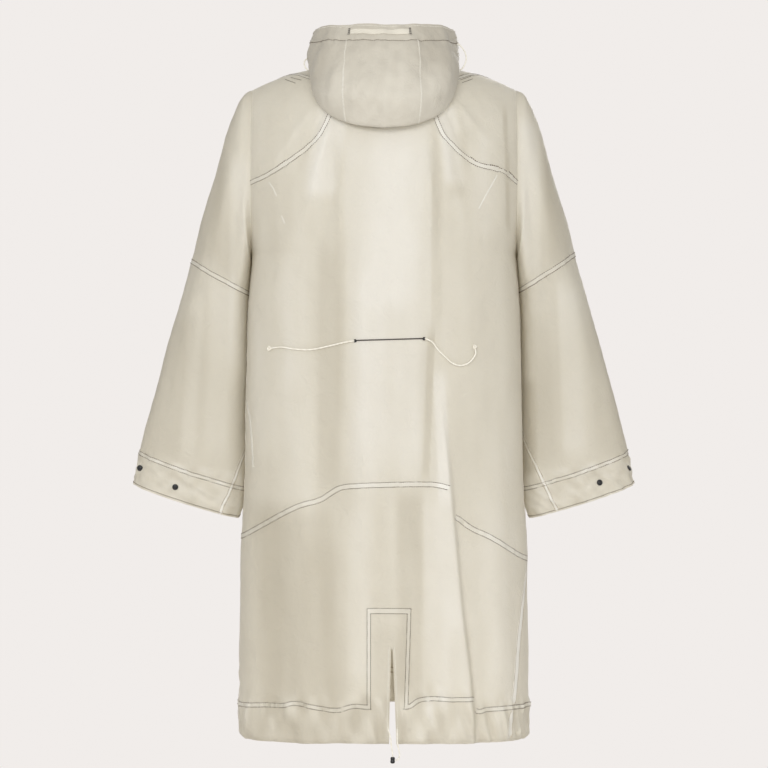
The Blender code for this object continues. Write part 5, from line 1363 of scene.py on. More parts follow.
# ---------------------------------------------------------------- finishes
@dataclass(frozen=True)
class NodeBuilder:
    """Shortens the writing of a material's nodes."""

    material: bpy.types.Material

    @classmethod
    def fresh(cls, name: str) -> "NodeBuilder":
        """Start a new material with empty nodes."""
        material = bpy.data.materials.new(name)
        material.use_nodes = True
        material.node_tree.nodes.clear()
        return cls(material)

    def add(self, kind: str, values: dict | None = None, **settings) -> bpy.types.Node:
        """Add a node, set its options and the values of its inputs."""
        node = self.material.node_tree.nodes.new(kind)
        for key, value in settings.items():
            setattr(node, key, value)
        for key, value in (values or {}).items():
            node.inputs[key].default_value = value
        return node

    def link(self, source: bpy.types.NodeSocket, target: bpy.types.NodeSocket) -> None:
        """Join an output to an input."""
        self.material.node_tree.links.new(source, target)

    def texture(self, kind: str, place: bpy.types.NodeSocket, values: dict | None = None,
                **settings) -> bpy.types.Node:
        """Add a texture that reads a place."""
        node = self.add("ShaderNodeTex" + kind, values, **settings)
        self.link(place, node.inputs["Vector"])
        return node

    def ramp(self, value: bpy.types.NodeSocket, low: Tone, high: Tone,
             middle: Tone | None = None) -> bpy.types.NodeSocket:
        """Add a ramp between two colours, with a third halfway where given."""
        node = self.add("ShaderNodeValToRGB")
        first, last = node.color_ramp.elements
        first.color, last.color = (*low, 1.0), (*high, 1.0)
        if middle is not None:
            node.color_ramp.elements.new(0.5).color = (*middle, 1.0)
        self.link(value, node.inputs["Fac"])
        return node.outputs["Color"]

    def bump(self, height: bpy.types.NodeSocket, strength: float, distance: float,
             under: bpy.types.NodeSocket | None = None) -> bpy.types.NodeSocket:
        """Add a bump of a height, over another one where given."""
        node = self.add("ShaderNodeBump", {"Strength": strength, "Distance": distance})
        self.link(height, node.inputs["Height"])
        if under is not None:
            self.link(under, node.inputs["Normal"])
        return node.outputs["Normal"]

    def spread(self, value: bpy.types.NodeSocket, low: float, high: float) -> bpy.types.NodeSocket:
        """Spread a value between two numbers."""
        node = self.add("ShaderNodeMapRange", {"To Min": low, "To Max": high})
        self.link(value, node.inputs["Value"])
        return node.outputs["Result"]

    def principled(self, values: dict, **joined) -> bpy.types.NodeSocket:
        """Add the main shader with set values and joined colour, roughness and normal."""
        node = self.add("ShaderNodeBsdfPrincipled", values)
        for key, socket in joined.items():
            self.link(socket, node.inputs[key.replace("_", " ").title()])
        return node.outputs["BSDF"]

    def math(self, operation: str, first, second=None) -> bpy.types.NodeSocket:
        """Add a Math node on two sockets or numbers and give its output."""
        node = self.add("ShaderNodeMath", operation=operation)
        for socket, value in zip(node.inputs, (first, second)):
            if isinstance(value, (int, float)):
                socket.default_value = value
            elif value is not None:
                self.link(value, socket)
        return node.outputs[0]

    def output(self, shader: bpy.types.NodeSocket) -> bpy.types.Material:
        """Join a shader to the material's output."""
        node = self.add("ShaderNodeOutputMaterial")
        self.link(shader, node.inputs["Surface"])
        return self.material


@dataclass(frozen=True)
class Nylon:
    """Thin crisp woven nylon, slightly see-through, with fine crumples."""

    color: Tone = (0.815, 0.786, 0.698)
    # base colour ramp: dull at painted shade, bright at painted light
    dull: Tone = (0.645, 0.608, 0.515)
    bright: Tone = (0.940, 0.926, 0.878)
    through: Tone = (0.92, 0.885, 0.805)
    translucency: float = 0.40
    roughness: float = 0.52
    sheen: float = 0.20
    crumple: float = 0.0011
    weave: float = 0.00006
    weave_scale: float = 900.0

    def build(self, name: str) -> bpy.types.Material:
        """Material: cloth scattering mixed with light let through, over crumples and weave.

        Args:
            name: Name of the material.

        Returns:
            The material.
        """
        nodes = NodeBuilder.fresh(name)
        place = nodes.add("ShaderNodeTexCoord").outputs
        coarse = nodes.texture("Noise", place["Object"],
                               {"Scale": 9.0, "Detail": 3.0, "Roughness": 0.55})
        slub = nodes.texture("Noise", place["UV"], {"Scale": 160.0, "Detail": 2.0})
        grain = nodes.math("ADD", nodes.math("MULTIPLY", coarse.outputs["Fac"], 0.16),
                           nodes.math("MULTIPLY", slub.outputs["Fac"], 0.07))
        # painted light and shade from the mesh attribute, with the random grain, moves the base
        # colour along the ramp
        painted_light = nodes.add("ShaderNodeAttribute", attribute_name=PAINTED_LIGHT_NAME)
        share = nodes.math("MULTIPLY", painted_light.outputs["Fac"], 0.40)
        tone = nodes.math("ADD", nodes.math("ADD", share, grain), 0.5 - 0.115)
        fine = nodes.texture("Noise", place["Object"], {"Scale": 42.0, "Detail": 5.0,
                                                        "Roughness": 0.6, "Distortion": 0.6})
        bent = nodes.add("ShaderNodeVectorMath", {1: (0.05, 0.05, 0.05)}, operation="MULTIPLY_ADD")
        nodes.link(fine.outputs["Color"], bent.inputs[0])
        nodes.link(place["Object"], bent.inputs[2])
        facets = nodes.texture("Voronoi", bent.outputs[0], {"Scale": 26.0, "Smoothness": 0.35},
                               feature="SMOOTH_F1")
        height = nodes.math("ADD", nodes.math("MULTIPLY", fine.outputs["Fac"], 0.55),
                            nodes.math("MULTIPLY", facets.outputs["Distance"], 0.45))
        crumple = nodes.bump(height, 0.5, self.crumple * 4)
        warp, weft = (nodes.texture("Wave", place["UV"], {"Scale": self.weave_scale / 20,
                                                          "Distortion": 0.3}, bands_direction=way)
                      for way in "XY")
        cross = nodes.math("MULTIPLY", warp.outputs["Fac"], weft.outputs["Fac"])
        weave = nodes.bump(cross, 0.35, self.weave, crumple)
        cloth = nodes.principled(
            {"Sheen Weight": self.sheen, "Sheen Roughness": 0.4, "Specular IOR Level": 0.35},
            base_color=nodes.ramp(tone, self.dull, self.bright, self.color),
            roughness=nodes.spread(fine.outputs["Fac"], self.roughness - 0.06,
                                   self.roughness + 0.06), normal=weave)
        light = nodes.add("ShaderNodeBsdfTranslucent", {"Color": (*self.through, 1.0)})
        nodes.link(weave, light.inputs["Normal"])
        mix = nodes.add("ShaderNodeMixShader", {"Fac": self.translucency})
        nodes.link(cloth, mix.inputs[1])
        nodes.link(light.outputs["BSDF"], mix.inputs[2])
        return nodes.output(mix.outputs["Shader"])


@dataclass(frozen=True)
class Yarn:
    """Twisted sewing thread or braided cord."""

    color: Tone
    dark: Tone
    scale: float = 700.0
    depth: float = 0.0002
    roughness: float = 0.6

    def build(self, name: str) -> bpy.types.Material:
        """Material: slanted ridges of twisted plies in bump and tone.

        Args:
            name: Name of the material.

        Returns:
            The material.
        """
        nodes = NodeBuilder.fresh(name)
        place = nodes.add("ShaderNodeTexCoord").outputs["Object"]
        ply = nodes.texture("Wave", place, {"Scale": self.scale / 20, "Distortion": 1.0,
                                            "Detail": 1.0}, bands_direction="DIAGONAL")
        height = ply.outputs["Fac"]
        return nodes.output(nodes.principled(
            {"Roughness": self.roughness, "Sheen Weight": 0.15},
            base_color=nodes.ramp(height, self.dark, self.color),
            normal=nodes.bump(height, 0.6, self.depth)))


@dataclass(frozen=True)
class Plastic:
    """Moulded plastic with a fine matt grain."""

    color: Tone = (0.012, 0.012, 0.014)
    roughness: float = 0.32

    def build(self, name: str) -> bpy.types.Material:
        """Material: fine grain in roughness and bump.

        Args:
            name: Name of the material.

        Returns:
            The material.
        """
        nodes = NodeBuilder.fresh(name)
        place = nodes.add("ShaderNodeTexCoord").outputs["Object"]
        grain = nodes.texture("Noise", place, {"Scale": 1500.0, "Detail": 2.0}).outputs["Fac"]
        return nodes.output(nodes.principled(
            {"Base Color": (*self.color, 1.0)},
            roughness=nodes.spread(grain, self.roughness - 0.05, self.roughness + 0.08),
            normal=nodes.bump(grain, 0.2, 0.00005)))


@dataclass(frozen=True)
class Backdrop:
    """Plain pale paper of the studio."""

    color: Tone = (0.86, 0.83, 0.80)

    def build(self, name: str) -> bpy.types.Material:
        """Material: matt paper with a faint tone."""
        nodes = NodeBuilder.fresh(name)
        place = nodes.add("ShaderNodeTexCoord").outputs["Object"]
        fibre = nodes.texture("Noise", place, {"Scale": 3.0, "Detail": 4.0}).outputs["Fac"]
        shade = tuple(c * 0.99 for c in self.color)
        return nodes.output(nodes.principled(
            {"Roughness": 0.9}, base_color=nodes.ramp(fibre, shade, self.color)))


def yarn(name: str, color: Tone, dark: Tone, scale: float = 4000.0, **sizes) -> bpy.types.Material:
    """Make a yarn material when a garment's finishes are made."""
    return field(default_factory=lambda: Yarn(color, dark, scale, **sizes).build(name))


@dataclass
class Finishes:
    """All materials of the garment, each made once."""

    body: bpy.types.Material = field(default_factory=lambda: Nylon().build("nylon_body"))
    hood: bpy.types.Material = field(default_factory=lambda: Nylon(
        color=(0.760, 0.722, 0.630), dull=(0.560, 0.520, 0.438), bright=(0.860, 0.835, 0.760),
        through=(0.80, 0.76, 0.66), translucency=0.16, crumple=0.0017).build("nylon_hood"))
    seam: bpy.types.Material = field(default_factory=lambda: Nylon(
        color=(0.790, 0.758, 0.668), dull=(0.640, 0.605, 0.512), bright=(0.950, 0.935, 0.880),
        translucency=0.24, crumple=0.0007).build("nylon_seam"))
    tape: bpy.types.Material = yarn("tape_cream", (0.80, 0.76, 0.66), (0.66, 0.62, 0.52), 2400.0)
    cord: bpy.types.Material = yarn("cord_cream", (0.90, 0.87, 0.78), (0.80, 0.76, 0.66), 1500.0,
                                    depth=0.0004)
    brown: bpy.types.Material = yarn("thread_brown", (0.160, 0.108, 0.062), (0.100, 0.070, 0.042))
    tan: bpy.types.Material = yarn("thread_tan", (0.430, 0.340, 0.210), (0.300, 0.235, 0.145))
    pale: bpy.types.Material = yarn("thread_pale", (0.86, 0.83, 0.75), (0.70, 0.66, 0.57))
    dark: bpy.types.Material = yarn("thread_dark", (0.060, 0.045, 0.035), (0.030, 0.024, 0.020))
    plastic: bpy.types.Material = field(default_factory=lambda: Plastic().build("plastic_black"))

    def thread(self, kind: Thread) -> bpy.types.Material:
        """Material of a kind of thread."""
        return {Thread.BROWN: self.brown, Thread.TAN: self.tan, Thread.PALE: self.pale,
                Thread.DARK: self.dark}[kind]


# ---------------------------------------------------------------- studio
@dataclass
class Studio:
    """Camera, lights and floor."""

    distance: float = 6.0
    centre_z: float = -0.536733
    view_height: float = 1.334
    sensor: float = 36.0
    floor_z: float = -1.50
    backdrop: Tone = (0.879, 0.845, 0.823)
    ambient: float = 0.62

    def build_camera(self) -> None:
        """Camera level with the garment's middle, looking along +Y."""
        data = bpy.data.cameras.new("camera")
        data.sensor_width = self.sensor
        data.lens = self.sensor * self.distance / self.view_height
        camera = bpy.data.objects.new("camera", data)
        camera.location = (0.0, -self.distance, self.centre_z)
        camera.rotation_euler = (math.pi / 2, 0.0, 0.0)
        bpy.context.scene.collection.objects.link(camera)
        bpy.context.scene.camera = camera

    def build_light(self) -> None:
        """Large soft lights before, above and beside the garment, in an even pale room."""
        bpy.context.scene.view_settings.view_transform = "Standard"
        world = bpy.data.worlds.new("studio")
        bpy.context.scene.world = world
        world.use_nodes = True
        tree = world.node_tree
        shade = tree.nodes["Background"]
        shade.inputs["Color"].default_value = (*self.backdrop, 1.0)
        shade.inputs["Strength"].default_value = 1.0
        room = tree.nodes.new("ShaderNodeBackground")
        room.inputs["Color"].default_value = (1.0, 0.985, 0.965, 1.0)
        room.inputs["Strength"].default_value = self.ambient
        rays = tree.nodes.new("ShaderNodeLightPath")
        mix = tree.nodes.new("ShaderNodeMixShader")
        tree.links.new(rays.outputs["Is Camera Ray"], mix.inputs[0])
        tree.links.new(room.outputs["Background"], mix.inputs[1])
        tree.links.new(shade.outputs["Background"], mix.inputs[2])
        tree.links.new(mix.outputs["Shader"], tree.nodes["World Output"].inputs["Surface"])
        for name, place, target, size, power in (
                ("key", (-1.5, -4.6, 0.9), (0.0, 0.0, -0.50), 1.5, 74.0),
                ("fill", (1.5, -4.6, 0.4), (0.0, 0.0, -0.50), 2.0, 58.0),
                ("front", (0.6, 4.4, 0.8), (0.0, 0.0, -0.50), 2.0, 90.0)):
            data = bpy.data.lights.new(name, "AREA")
            data.shape = "SQUARE"
            data.size = size
            data.energy = power
            lamp = bpy.data.objects.new(name, data)
            lamp.location = place
            aim = np.array(target) - np.array(place)
            flat = math.hypot(aim[0], aim[1])
            lamp.rotation_euler = (math.pi / 2 + math.atan2(aim[2], flat), 0.0,
                                   math.atan2(aim[1], aim[0]) - math.pi / 2)
            bpy.context.scene.collection.objects.link(lamp)

    def build_floor(self) -> None:
        """Round paper floor below the hanging garment."""
        turn = np.linspace(0.0, 2 * math.pi, 97)
        radius = np.array([0.0, 0.5, 1.0, 1.5, 2.0])[:, None]
        height = np.full((5, 97), self.floor_z)
        points = np.stack([radius * np.cos(turn), radius * np.sin(turn), height], axis=-1)
        mesh = MeshParts()
        mesh.add(points, grid_quads(5, 97, flip=True), points[..., :2])
        mesh.build("floor", Backdrop().build("paper_floor"))


# ---------------------------------------------------------------- cords
@dataclass(frozen=True)
class CordRoute:
    """A free cord: its route's points, thickness and what is at its far end."""

    name: str
    points: Rows
    diameter: float
    far_end: str
    lay: str = "hanging"


@dataclass
class Cords:
    """Waist, hood and hem cords in their free lengths."""

    form: BodyForm
    finishes: Finishes
    wide: float = 0.0028
    fine: float = 0.0024
    clearance: float = 0.0018
    # across, height on the back
    waist_left: Rows = ((-0.0505, -0.4635), (-0.066, -0.466), (-0.096, -0.473), (-0.125, -0.4785),
                        (-0.152, -0.4775), (-0.177, -0.474), (-0.194, -0.4760))
    waist_right: Rows = ((0.0695, -0.4595), (0.081, -0.465), (0.091, -0.478), (0.104, -0.491),
                         (0.117, -0.502), (0.130, -0.5055), (0.142, -0.502), (0.151, -0.494),
                         (0.156, -0.484), (0.154, -0.4745))
    # x, y, z
    hood_left: Rows = ((-0.1300, -0.080, 0.0215), (-0.1335, -0.083, 0.0195),
                       (-0.1362, -0.087, 0.0150), (-0.1365, -0.091, 0.0095),
                       (-0.1345, -0.093, 0.0045), (-0.1300, -0.092, 0.0000))
    hood_right: Rows = ((0.1266, -0.0738, 0.0478), (0.1345, -0.077, 0.0395),
                        (0.1395, -0.080, 0.0300), (0.1410, -0.083, 0.0210),
                        (0.1385, -0.086, 0.0110), (0.1345, -0.087, 0.0040),
                        (0.1297, -0.086, 0.0000))
    hem_left: Rows = ((0.0060, -0.1517, -1.1170), (0.0085, -0.1525, -1.1260),
                      (0.0110, -0.1545, -1.1360), (0.0122, -0.1550, -1.1480),
                      (0.0140, -0.1545, -1.1580), (0.0148, -0.1540, -1.1680))
    hem_right: Rows = ((0.0222, -0.1520, -1.1210), (0.0222, -0.1530, -1.1290),
                       (0.0226, -0.1550, -1.1430), (0.0250, -0.1555, -1.1560),
                       (0.0262, -0.1550, -1.1660), (0.0240, -0.1545, -1.1718),
                       (0.0192, -0.1540, -1.1735))

    def on_back(self, rows: Rows) -> Rows:
        """Points in front of the back's cloth, from distances across and heights."""
        data = np.array(rows)
        place = self.form.place_from_height(data[:, 0], data[:, 1], False)
        point = self.form.shoulder_surface(data[:, 0], place)
        out = self.wide / 2 + self.clearance
        return np.stack([data[:, 0], point[:, 1] - out, data[:, 1]], axis=-1).tolist()

    def smooth(self, rows: Rows, diameter: float) -> Array:
        """Even points on a smooth curve through the route's points."""
        data = np.array(rows, dtype=float)
        runs = np.linalg.norm(np.diff(data, axis=0), axis=1)
        keys = np.concatenate([[0.0], np.cumsum(runs)]) / runs.sum()
        count = max(4, int(round(runs.sum() / (diameter * 1.3))) + 1)
        part = np.linspace(0.0, 1.0, count)
        columns = [smooth_table(np.column_stack([keys, data[:, i]]), part) for i in range(3)]
        return np.stack(columns, axis=-1)

    def build_cord(self, route: CordRoute) -> bpy.types.Object:
        """Curve along the route, in its node's stead."""
        points = self.smooth(route.points, route.diameter)
        curve = bpy.data.curves.new(route.name, "CURVE")
        curve.dimensions = "3D"
        spline = curve.splines.new("POLY")
        spline.points.add(len(points) - 1)
        spline.points.foreach_set("co", np.column_stack([points, np.ones(len(points))]).ravel())
        curve.bevel_depth = route.diameter / 2
        curve.bevel_resolution = 4
        curve.use_fill_caps = True
        curve.materials.append(self.finishes.cord)
        obj = bpy.data.objects.new(route.name + "_braid", curve)
        bpy.context.scene.collection.objects.link(obj)
        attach(obj, "root")
        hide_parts(route.name)
        return obj

    def build_knot(self, name: str, centre: Array, size: float) -> bpy.types.Object:
        """Small knot: a torus knot of cord with three turns through and two round."""
        turn = np.linspace(0.0, 2 * math.pi, 90, endpoint=False)
        reach = 0.62 + 0.34 * np.cos(3 * turn)
        line = np.stack([reach * np.cos(2 * turn), 0.42 * np.sin(3 * turn),
                         reach * np.sin(2 * turn)], axis=-1) * size / 2
        ahead = unit(np.roll(line, -1, axis=0) - np.roll(line, 1, axis=0))
        side = unit(np.cross(ahead, np.array([0.0, 1.0, 0.0])))
        rise = np.cross(side, ahead)
        ring = np.linspace(0.0, 2 * math.pi, 8, endpoint=False)
        tube = (line[:, None] + (side[:, None] * np.cos(ring)[None, :, None]
                                 + rise[:, None] * np.sin(ring)[None, :, None]) * size * 0.17)
        closed = np.concatenate([tube, tube[:1]])
        mesh = MeshParts()
        uvs = np.stack(np.meshgrid(np.arange(91) * 0.0005, ring * 0.0005, indexing="ij"), -1)
        mesh.add(closed + np.asarray(centre), grid_quads(91, 8, wrap=True, flip=True), uvs)
        knot = mesh.build(name, self.finishes.cord, sharp=80.0)
        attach(knot, "root")
        return knot

    def build(self, toggle: bpy.types.Object) -> None:
        """All six cords with the knots at the free ends."""
        left = self.on_back(self.waist_left)
        right = self.on_back(self.waist_right)
        knot = self.build_knot("waist_knot_left", np.array(left[-1]) + (-0.002, -0.0004, 0.0),
                               0.0070)
        self.build_cord(CordRoute("waist_cord_left", left, self.wide, "knot", "loose"))
        end = self.build_knot("waist_knot_right", np.array(right[-1]) + (0.0, -0.0004, 0.001),
                              0.0060)
        self.build_cord(CordRoute("waist_cord_right", right, self.wide, "knot", "loose"))
        self.build_cord(CordRoute("hood_cord_left", self.hood_left, self.fine, "object"))
        self.build_cord(CordRoute("hood_cord_right", self.hood_right, self.fine, "object"))
        self.build_cord(CordRoute("hem_cord_left", self.hem_left, self.fine, "fitting"))
        self.build_cord(CordRoute("hem_cord_right", self.hem_right, self.fine, "object"))


# ---------------------------------------------------------------- garment
@dataclass
class Assembly:
    """What every part of the garment shares: its finishes, sewing and mesh spacing."""

    finishes: Finishes
    sewing: Sewing = field(default_factory=Sewing)
    spacing: float = 0.0045

    def settle(self, shell: Shell, node: str, material: bpy.types.Material, held: str = "hung",
               rests_on: Sequence[str] = (), kind: str = "cloth") -> None:
        """Build a shell and put it in its node's stead."""
        shell.painted_light = self.sewing.painted_light
        obj, cut = shell.build(f"{node}_{kind}", material)
        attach(obj, "root")
        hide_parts(node)

    def finish_sewing(self, name: str) -> None:
        """Make the joined bands and threads of this part."""
        if self.sewing.bands.count:
            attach(self.sewing.bands.build(name + "_seams", self.finishes.seam, 40.0), "root")
        for kind, parts in self.sewing.threads.items():
            if parts.count:
                thread = parts.build(f"{name}_threads_{kind.value}", self.finishes.thread(kind),
                                     80.0)
                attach(thread, "root")

    def count(self, length: float) -> int:
        """Number of steps over a length."""
        return max(2, int(math.ceil(length / self.spacing)))


def dense(start: float, end: float, count: int = 900) -> Array:
    """Close even samples between two values."""
    return np.linspace(start, end, count)


@dataclass
class Body(Assembly):
    """Back, fronts, yokes, hem bands, vent and placket."""

    plan: BodyPlan = field(default_factory=BodyPlan)
    lower_band: float = 0.0098
    hem_band_width: float = 0.0089
    frame_side: float = 0.0078
    frame_top: float = 0.0106
    frame_left: float = -0.0257
    frame_right: float = 0.0425
    frame_turn: float = 1.5
    yoke_band: float = 0.0088
    side_band: float = 0.0130
    placket_band: float = 0.0080
    front_hem_band: float = 0.0085
    slit_edge: float = 0.0035
    armhole_edge: float = 0.0045
    inner_rows: tuple[float, float] = (-1.0405, -1.0490)
    # thin marks, raised a little and painted lighter
    # across, height
    pale_marks: Sequence[Rows] = (((-0.1965, -0.193), (-0.189, -0.203), (-0.183, -0.217)),
                             ((-0.1745, -0.2505), (-0.171, -0.258), (-0.169, -0.264)),
                             ((0.193, -0.181), (0.180, -0.204), (0.161, -0.239)))
    left_edge: Rows = ((-0.2355, -0.5690), (-0.2295, -0.6110), (-0.2244, -0.6800))
    # across and height of each end
    shoulder_stitches: Rows = ((-0.1695, -0.0131, -0.1516, -0.0217),
                               (-0.1602, -0.0096, -0.1412, -0.0165),
                               (0.1309, -0.0165, 0.1499, -0.0079),
                               (0.1340, -0.0215, 0.1525, -0.0132))

    def build(self) -> None:
        """Make the cut pieces, then the seams between them."""
        self.sewing.painted_light = self.plan.form.painted_light
        self.build_back()
        self.build_fronts()
        self.sew_back()
        self.sew_vent()
        self.sew_yokes()
        self.sew_marks()
        self.sew_sides()
        self.sew_front()
        self.finish_sewing("body")

    def columns(self, first: int = 0, last: int = 5) -> Array:
        """Columns of the back between two of its anchors, closer at the deep fold."""
        widths = (0.215, 0.075, 0.070, 0.024, 0.150)
        anchors = self.plan.anchors
        runs = []
        for i in range(first, last):
            extra = 3 if i == 3 else 1
            runs.append((anchors[i], anchors[i + 1], self.count(widths[i]) * extra))
        return steps(*runs)

    def build_back(self) -> None:
        """Upper and lower back, hem bands and vent panel."""
        plan, cloth = self.plan, self.finishes.body
        rows = steps((0.0, 1.0, self.count(0.12)), (1.0, 2.0, self.count(0.43)),
                     (2.0, 3.0, self.count(0.14)))
        self.settle(Shell(plan.back_upper, self.columns(), rows, flip=True), "back_upper", cloth,
                    rests_on=("yoke_left", "yoke_right"))
        rows = steps((0.0, 1.0, self.count(0.20)), (1.0, 2.0, self.count(0.165)))
        columns = self.columns()
        vent = (columns[:-1] > plan.anchors[1] - 1e-6) & (columns[:-1] < plan.anchors[2] - 1e-6)
        keep = np.ones((len(rows) - 1, len(columns) - 1), dtype=bool)
        keep[rows[:-1] > 1 - 1e-6] = ~vent
        self.settle(Shell(plan.back_lower, columns, rows, flip=True, keep=keep),
                    "back_lower", cloth, rests_on=("back_upper",))
        band = steps((0.0, 1.0, self.count(0.065)))
        self.settle(Shell(plan.hem_back, self.columns(0, 1), band, flip=True),
                    "hem_band_back_left", cloth,
                    rests_on=("back_lower",))
        self.settle(Shell(plan.hem_back, self.columns(2, 5), band, flip=True),
                    "hem_band_back_right", cloth,
                    rests_on=("back_lower",))
        drop = plan.vent_top_z - plan.form.hem_z
        apex = (plan.vent_top_z - plan.slit_apex_z) / drop
        columns = steps((0.0, 1.0, self.count(0.04)), (1.0, 2.0, 2), (2.0, 3.0, self.count(0.032)))
        rows = steps((0.0, apex, self.count(0.07)), (apex, 1.0, self.count(0.16)))
        keep = np.ones((len(rows) - 1, len(columns) - 1), dtype=bool)
        slit = (columns[:-1] > 1 - 1e-6) & (columns[:-1] < 2 - 1e-6)
        keep[np.ix_(rows[:-1] > apex - 1e-6, slit)] = False
        self.settle(Shell(plan.vent, columns, rows, flip=True, keep=keep), "vent_panel", cloth,
                    rests_on=("back_lower",))

    def build_fronts(self) -> None:
        """Fronts with hem bands, yokes and the covered placket."""
        plan, cloth = self.plan, self.finishes.body
        share = plan.front_seam_share
        for side, name in ((-1, "left"), (1, "right")):
            flip = side < 0
            rows = steps((0.0, share, self.count(0.14)), (share, 1.0, self.count(0.08)),
                         (1.0, 2.0, self.count(0.75)), (2.0, 3.0, self.count(0.13)))
            columns = steps((0.0, 1.0, self.count(0.28)))
            self.settle(Shell(plan.front(side), columns, rows, flip=flip),
                        f"front_{name}", cloth,
                        rests_on=(f"yoke_{name}",))
            self.settle(Shell(plan.hem_front(side), columns, steps((0.0, 1.0, self.count(0.061))),
                              flip=flip), f"hem_band_front_{name}", cloth,
                        rests_on=(f"front_{name}",))
            even = steps((0.0, 1.0, self.count(0.20)))
            self.settle(Shell(plan.yoke(side), even, even, flip=flip), f"yoke_{name}", cloth)
        self.settle(Shell(plan.placket, steps((0.0, 1.0, self.count(0.042))),
                          steps((0.0, 1.0, self.count(1.12)))), "front_placket", cloth,
                    rests_on=("front_left", "front_right"))

    def across_back(self, start_x: float, end_x: float, level: float,
                    height: Callable[[Array], Array], shift: float = 0.0,
                    mitre: tuple[float, float] = (0.0, 0.0)) -> SurfacePath:
        """Path across the back between two distances from the centre."""
        form = self.plan.form
        margin = 0.012 if any(mitre) else 0.0
        width = float(form.half_width(np.array(level)))
        x = dense(start_x - margin, end_x + margin)
        angle = np.sign(x) * oval_angle(np.abs(x) / width, form.ring_power)
        z = height(np.clip(angle, angle[0] + margin / width, angle[-1] - margin / width)) + shift
        return SurfacePath(form.ring_surface, angle, z, mitre=mitre, margin=margin)

    def line_on_back(self, rows: Rows, mitre: tuple[float, float] = (0.0, 0.0),
                     margin: float = 0.0) -> SurfacePath:
        """Path through straight runs between places on the back, drawn out by the margin."""
        form = self.plan.form
        places = np.array(rows, dtype=float)
        places[0] += margin * unit(places[0] - places[1])
        places[-1] += margin * unit(places[-1] - places[-2])
        runs = np.concatenate([[0.0], np.cumsum(np.linalg.norm(np.diff(places, axis=0), axis=1))])
        key = dense(0.0, float(runs[-1]))
        x, z = np.interp(key, runs, places[:, 0]), np.interp(key, runs, places[:, 1])
        angle = np.sign(x) * oval_angle(np.abs(x) / form.half_width(z), form.ring_power)
        return SurfacePath(form.ring_surface, angle, z, mitre=mitre, margin=margin)

    def sew_back(self) -> None:
        """Curved lower seam and hem band seam, both broken where the deep fold hides them."""
        form = self.plan.form
        drop = -(self.lower_band / 2 - self.sewing.felling.edge)
        for start, end in ((-0.2445, 0.1100), (0.1195, 0.2425)):
            path = self.across_back(start, end, -0.76, form.lower_seam_height, drop)
            self.sewing.felled(path, width=self.lower_band)
        drop = -(self.hem_band_width / 2 - self.sewing.felling.edge)
        for start, end, mitre in ((-0.2490, self.frame_left, (0.0, 1.0)),
                                  (self.frame_right - 0.0050, 0.1475, (self.frame_turn, 0.0)),
                                  (0.1550, 0.2480, (0.0, 0.0))):
            path = self.across_back(start, end, -1.08, form.hem_seam_height, drop, mitre)
            self.sewing.felled(path, width=self.hem_band_width)

    def sew_vent(self) -> None:
        """Frame of the vent panel, mitred at its corners, and stitches beside the slit."""
        plan, sewing = self.plan, self.sewing
        form = plan.form
        edge = sewing.felling.edge
        top = plan.vent_top_z - (self.frame_top / 2 - edge)
        ratio = (self.frame_top / 2 - edge) / (self.frame_side / 2 - edge)
        drop = self.hem_band_width / 2 - edge
        foot_left = float(smooth_table(form.hem_seam, self.frame_left)) - drop
        foot_x = self.frame_right - 0.0050
        foot_right = float(smooth_table(form.hem_seam, foot_x)) - drop
        for rows, mitre, width in (
                (((self.frame_left, foot_left), (self.frame_left, top)), (1.0, -ratio),
                 self.frame_side),
                (((self.frame_left, top), (self.frame_right, top)), (-1 / ratio, -1 / ratio),
                 self.frame_top),
                (((self.frame_right, top), (foot_x, foot_right)), (-ratio, self.frame_turn),
                 self.frame_side)):
            sewing.felled(self.line_on_back(rows, mitre, 0.012), width=width)
        z = dense(plan.slit_apex_z + 0.004, form.hem_z + 0.003)
        left, right = plan.slit_angles(z)
        for degrees, side in ((left, 1), (right, -1)):
            path = SurfacePath(form.ring_surface, np.radians(degrees), z)
            sewing.run(path, -side * self.slit_edge, Thread.PALE, lift=0.0002)
        angle = dense(math.pi - 0.20, math.pi + 0.20, 300)
        for level in self.inner_rows:
            path = SurfacePath(form.ring_surface, angle, np.full_like(angle, level), -1)
            sewing.run(path, 0.0, Thread.TAN, lift=0.0019, scale=1.2)

    def sew_marks(self) -> None:
        """Thin raised marks painted lighter, the pale doubled edge beside the left sleeve,
        shoulder stitches.
        """
        for rows in self.pale_marks:
            # each mark painted lighter than the cloth around it
            self.sewing.band(self.line_on_back(rows), 0.0022, 0.0004, bright=1.0)
        edge = self.line_on_back(self.left_edge)
        self.sewing.band(edge, 0.0052, 0.0004, bright=0.8)
        for offset in (-0.0017, 0.0017):
            self.sewing.run(edge, offset, Thread.PALE, lift=0.0004)
        form = self.plan.form
        for x0, z0, x1, z1 in self.shoulder_stitches:
            x, z = dense(x0, x1, 60), dense(z0, z1, 60)
            path = SurfacePath(form.shoulder_surface, x, form.place_from_height(x, z, False))
            self.sewing.run(path, 0.0, lift=0.0003)

    def sew_yokes(self) -> None:
        """Back and front yoke seams."""
        plan = self.plan
        for side in (-1, 1):
            part = dense(0.12, 1.0)
            for seam in (plan.yoke_seam(side, part), plan.front_yoke_seam(side, part)):
                path = SurfacePath(plan.form.shoulder_surface, seam[..., 0], seam[..., 1])
                self.sewing.felled(path, width=self.yoke_band)

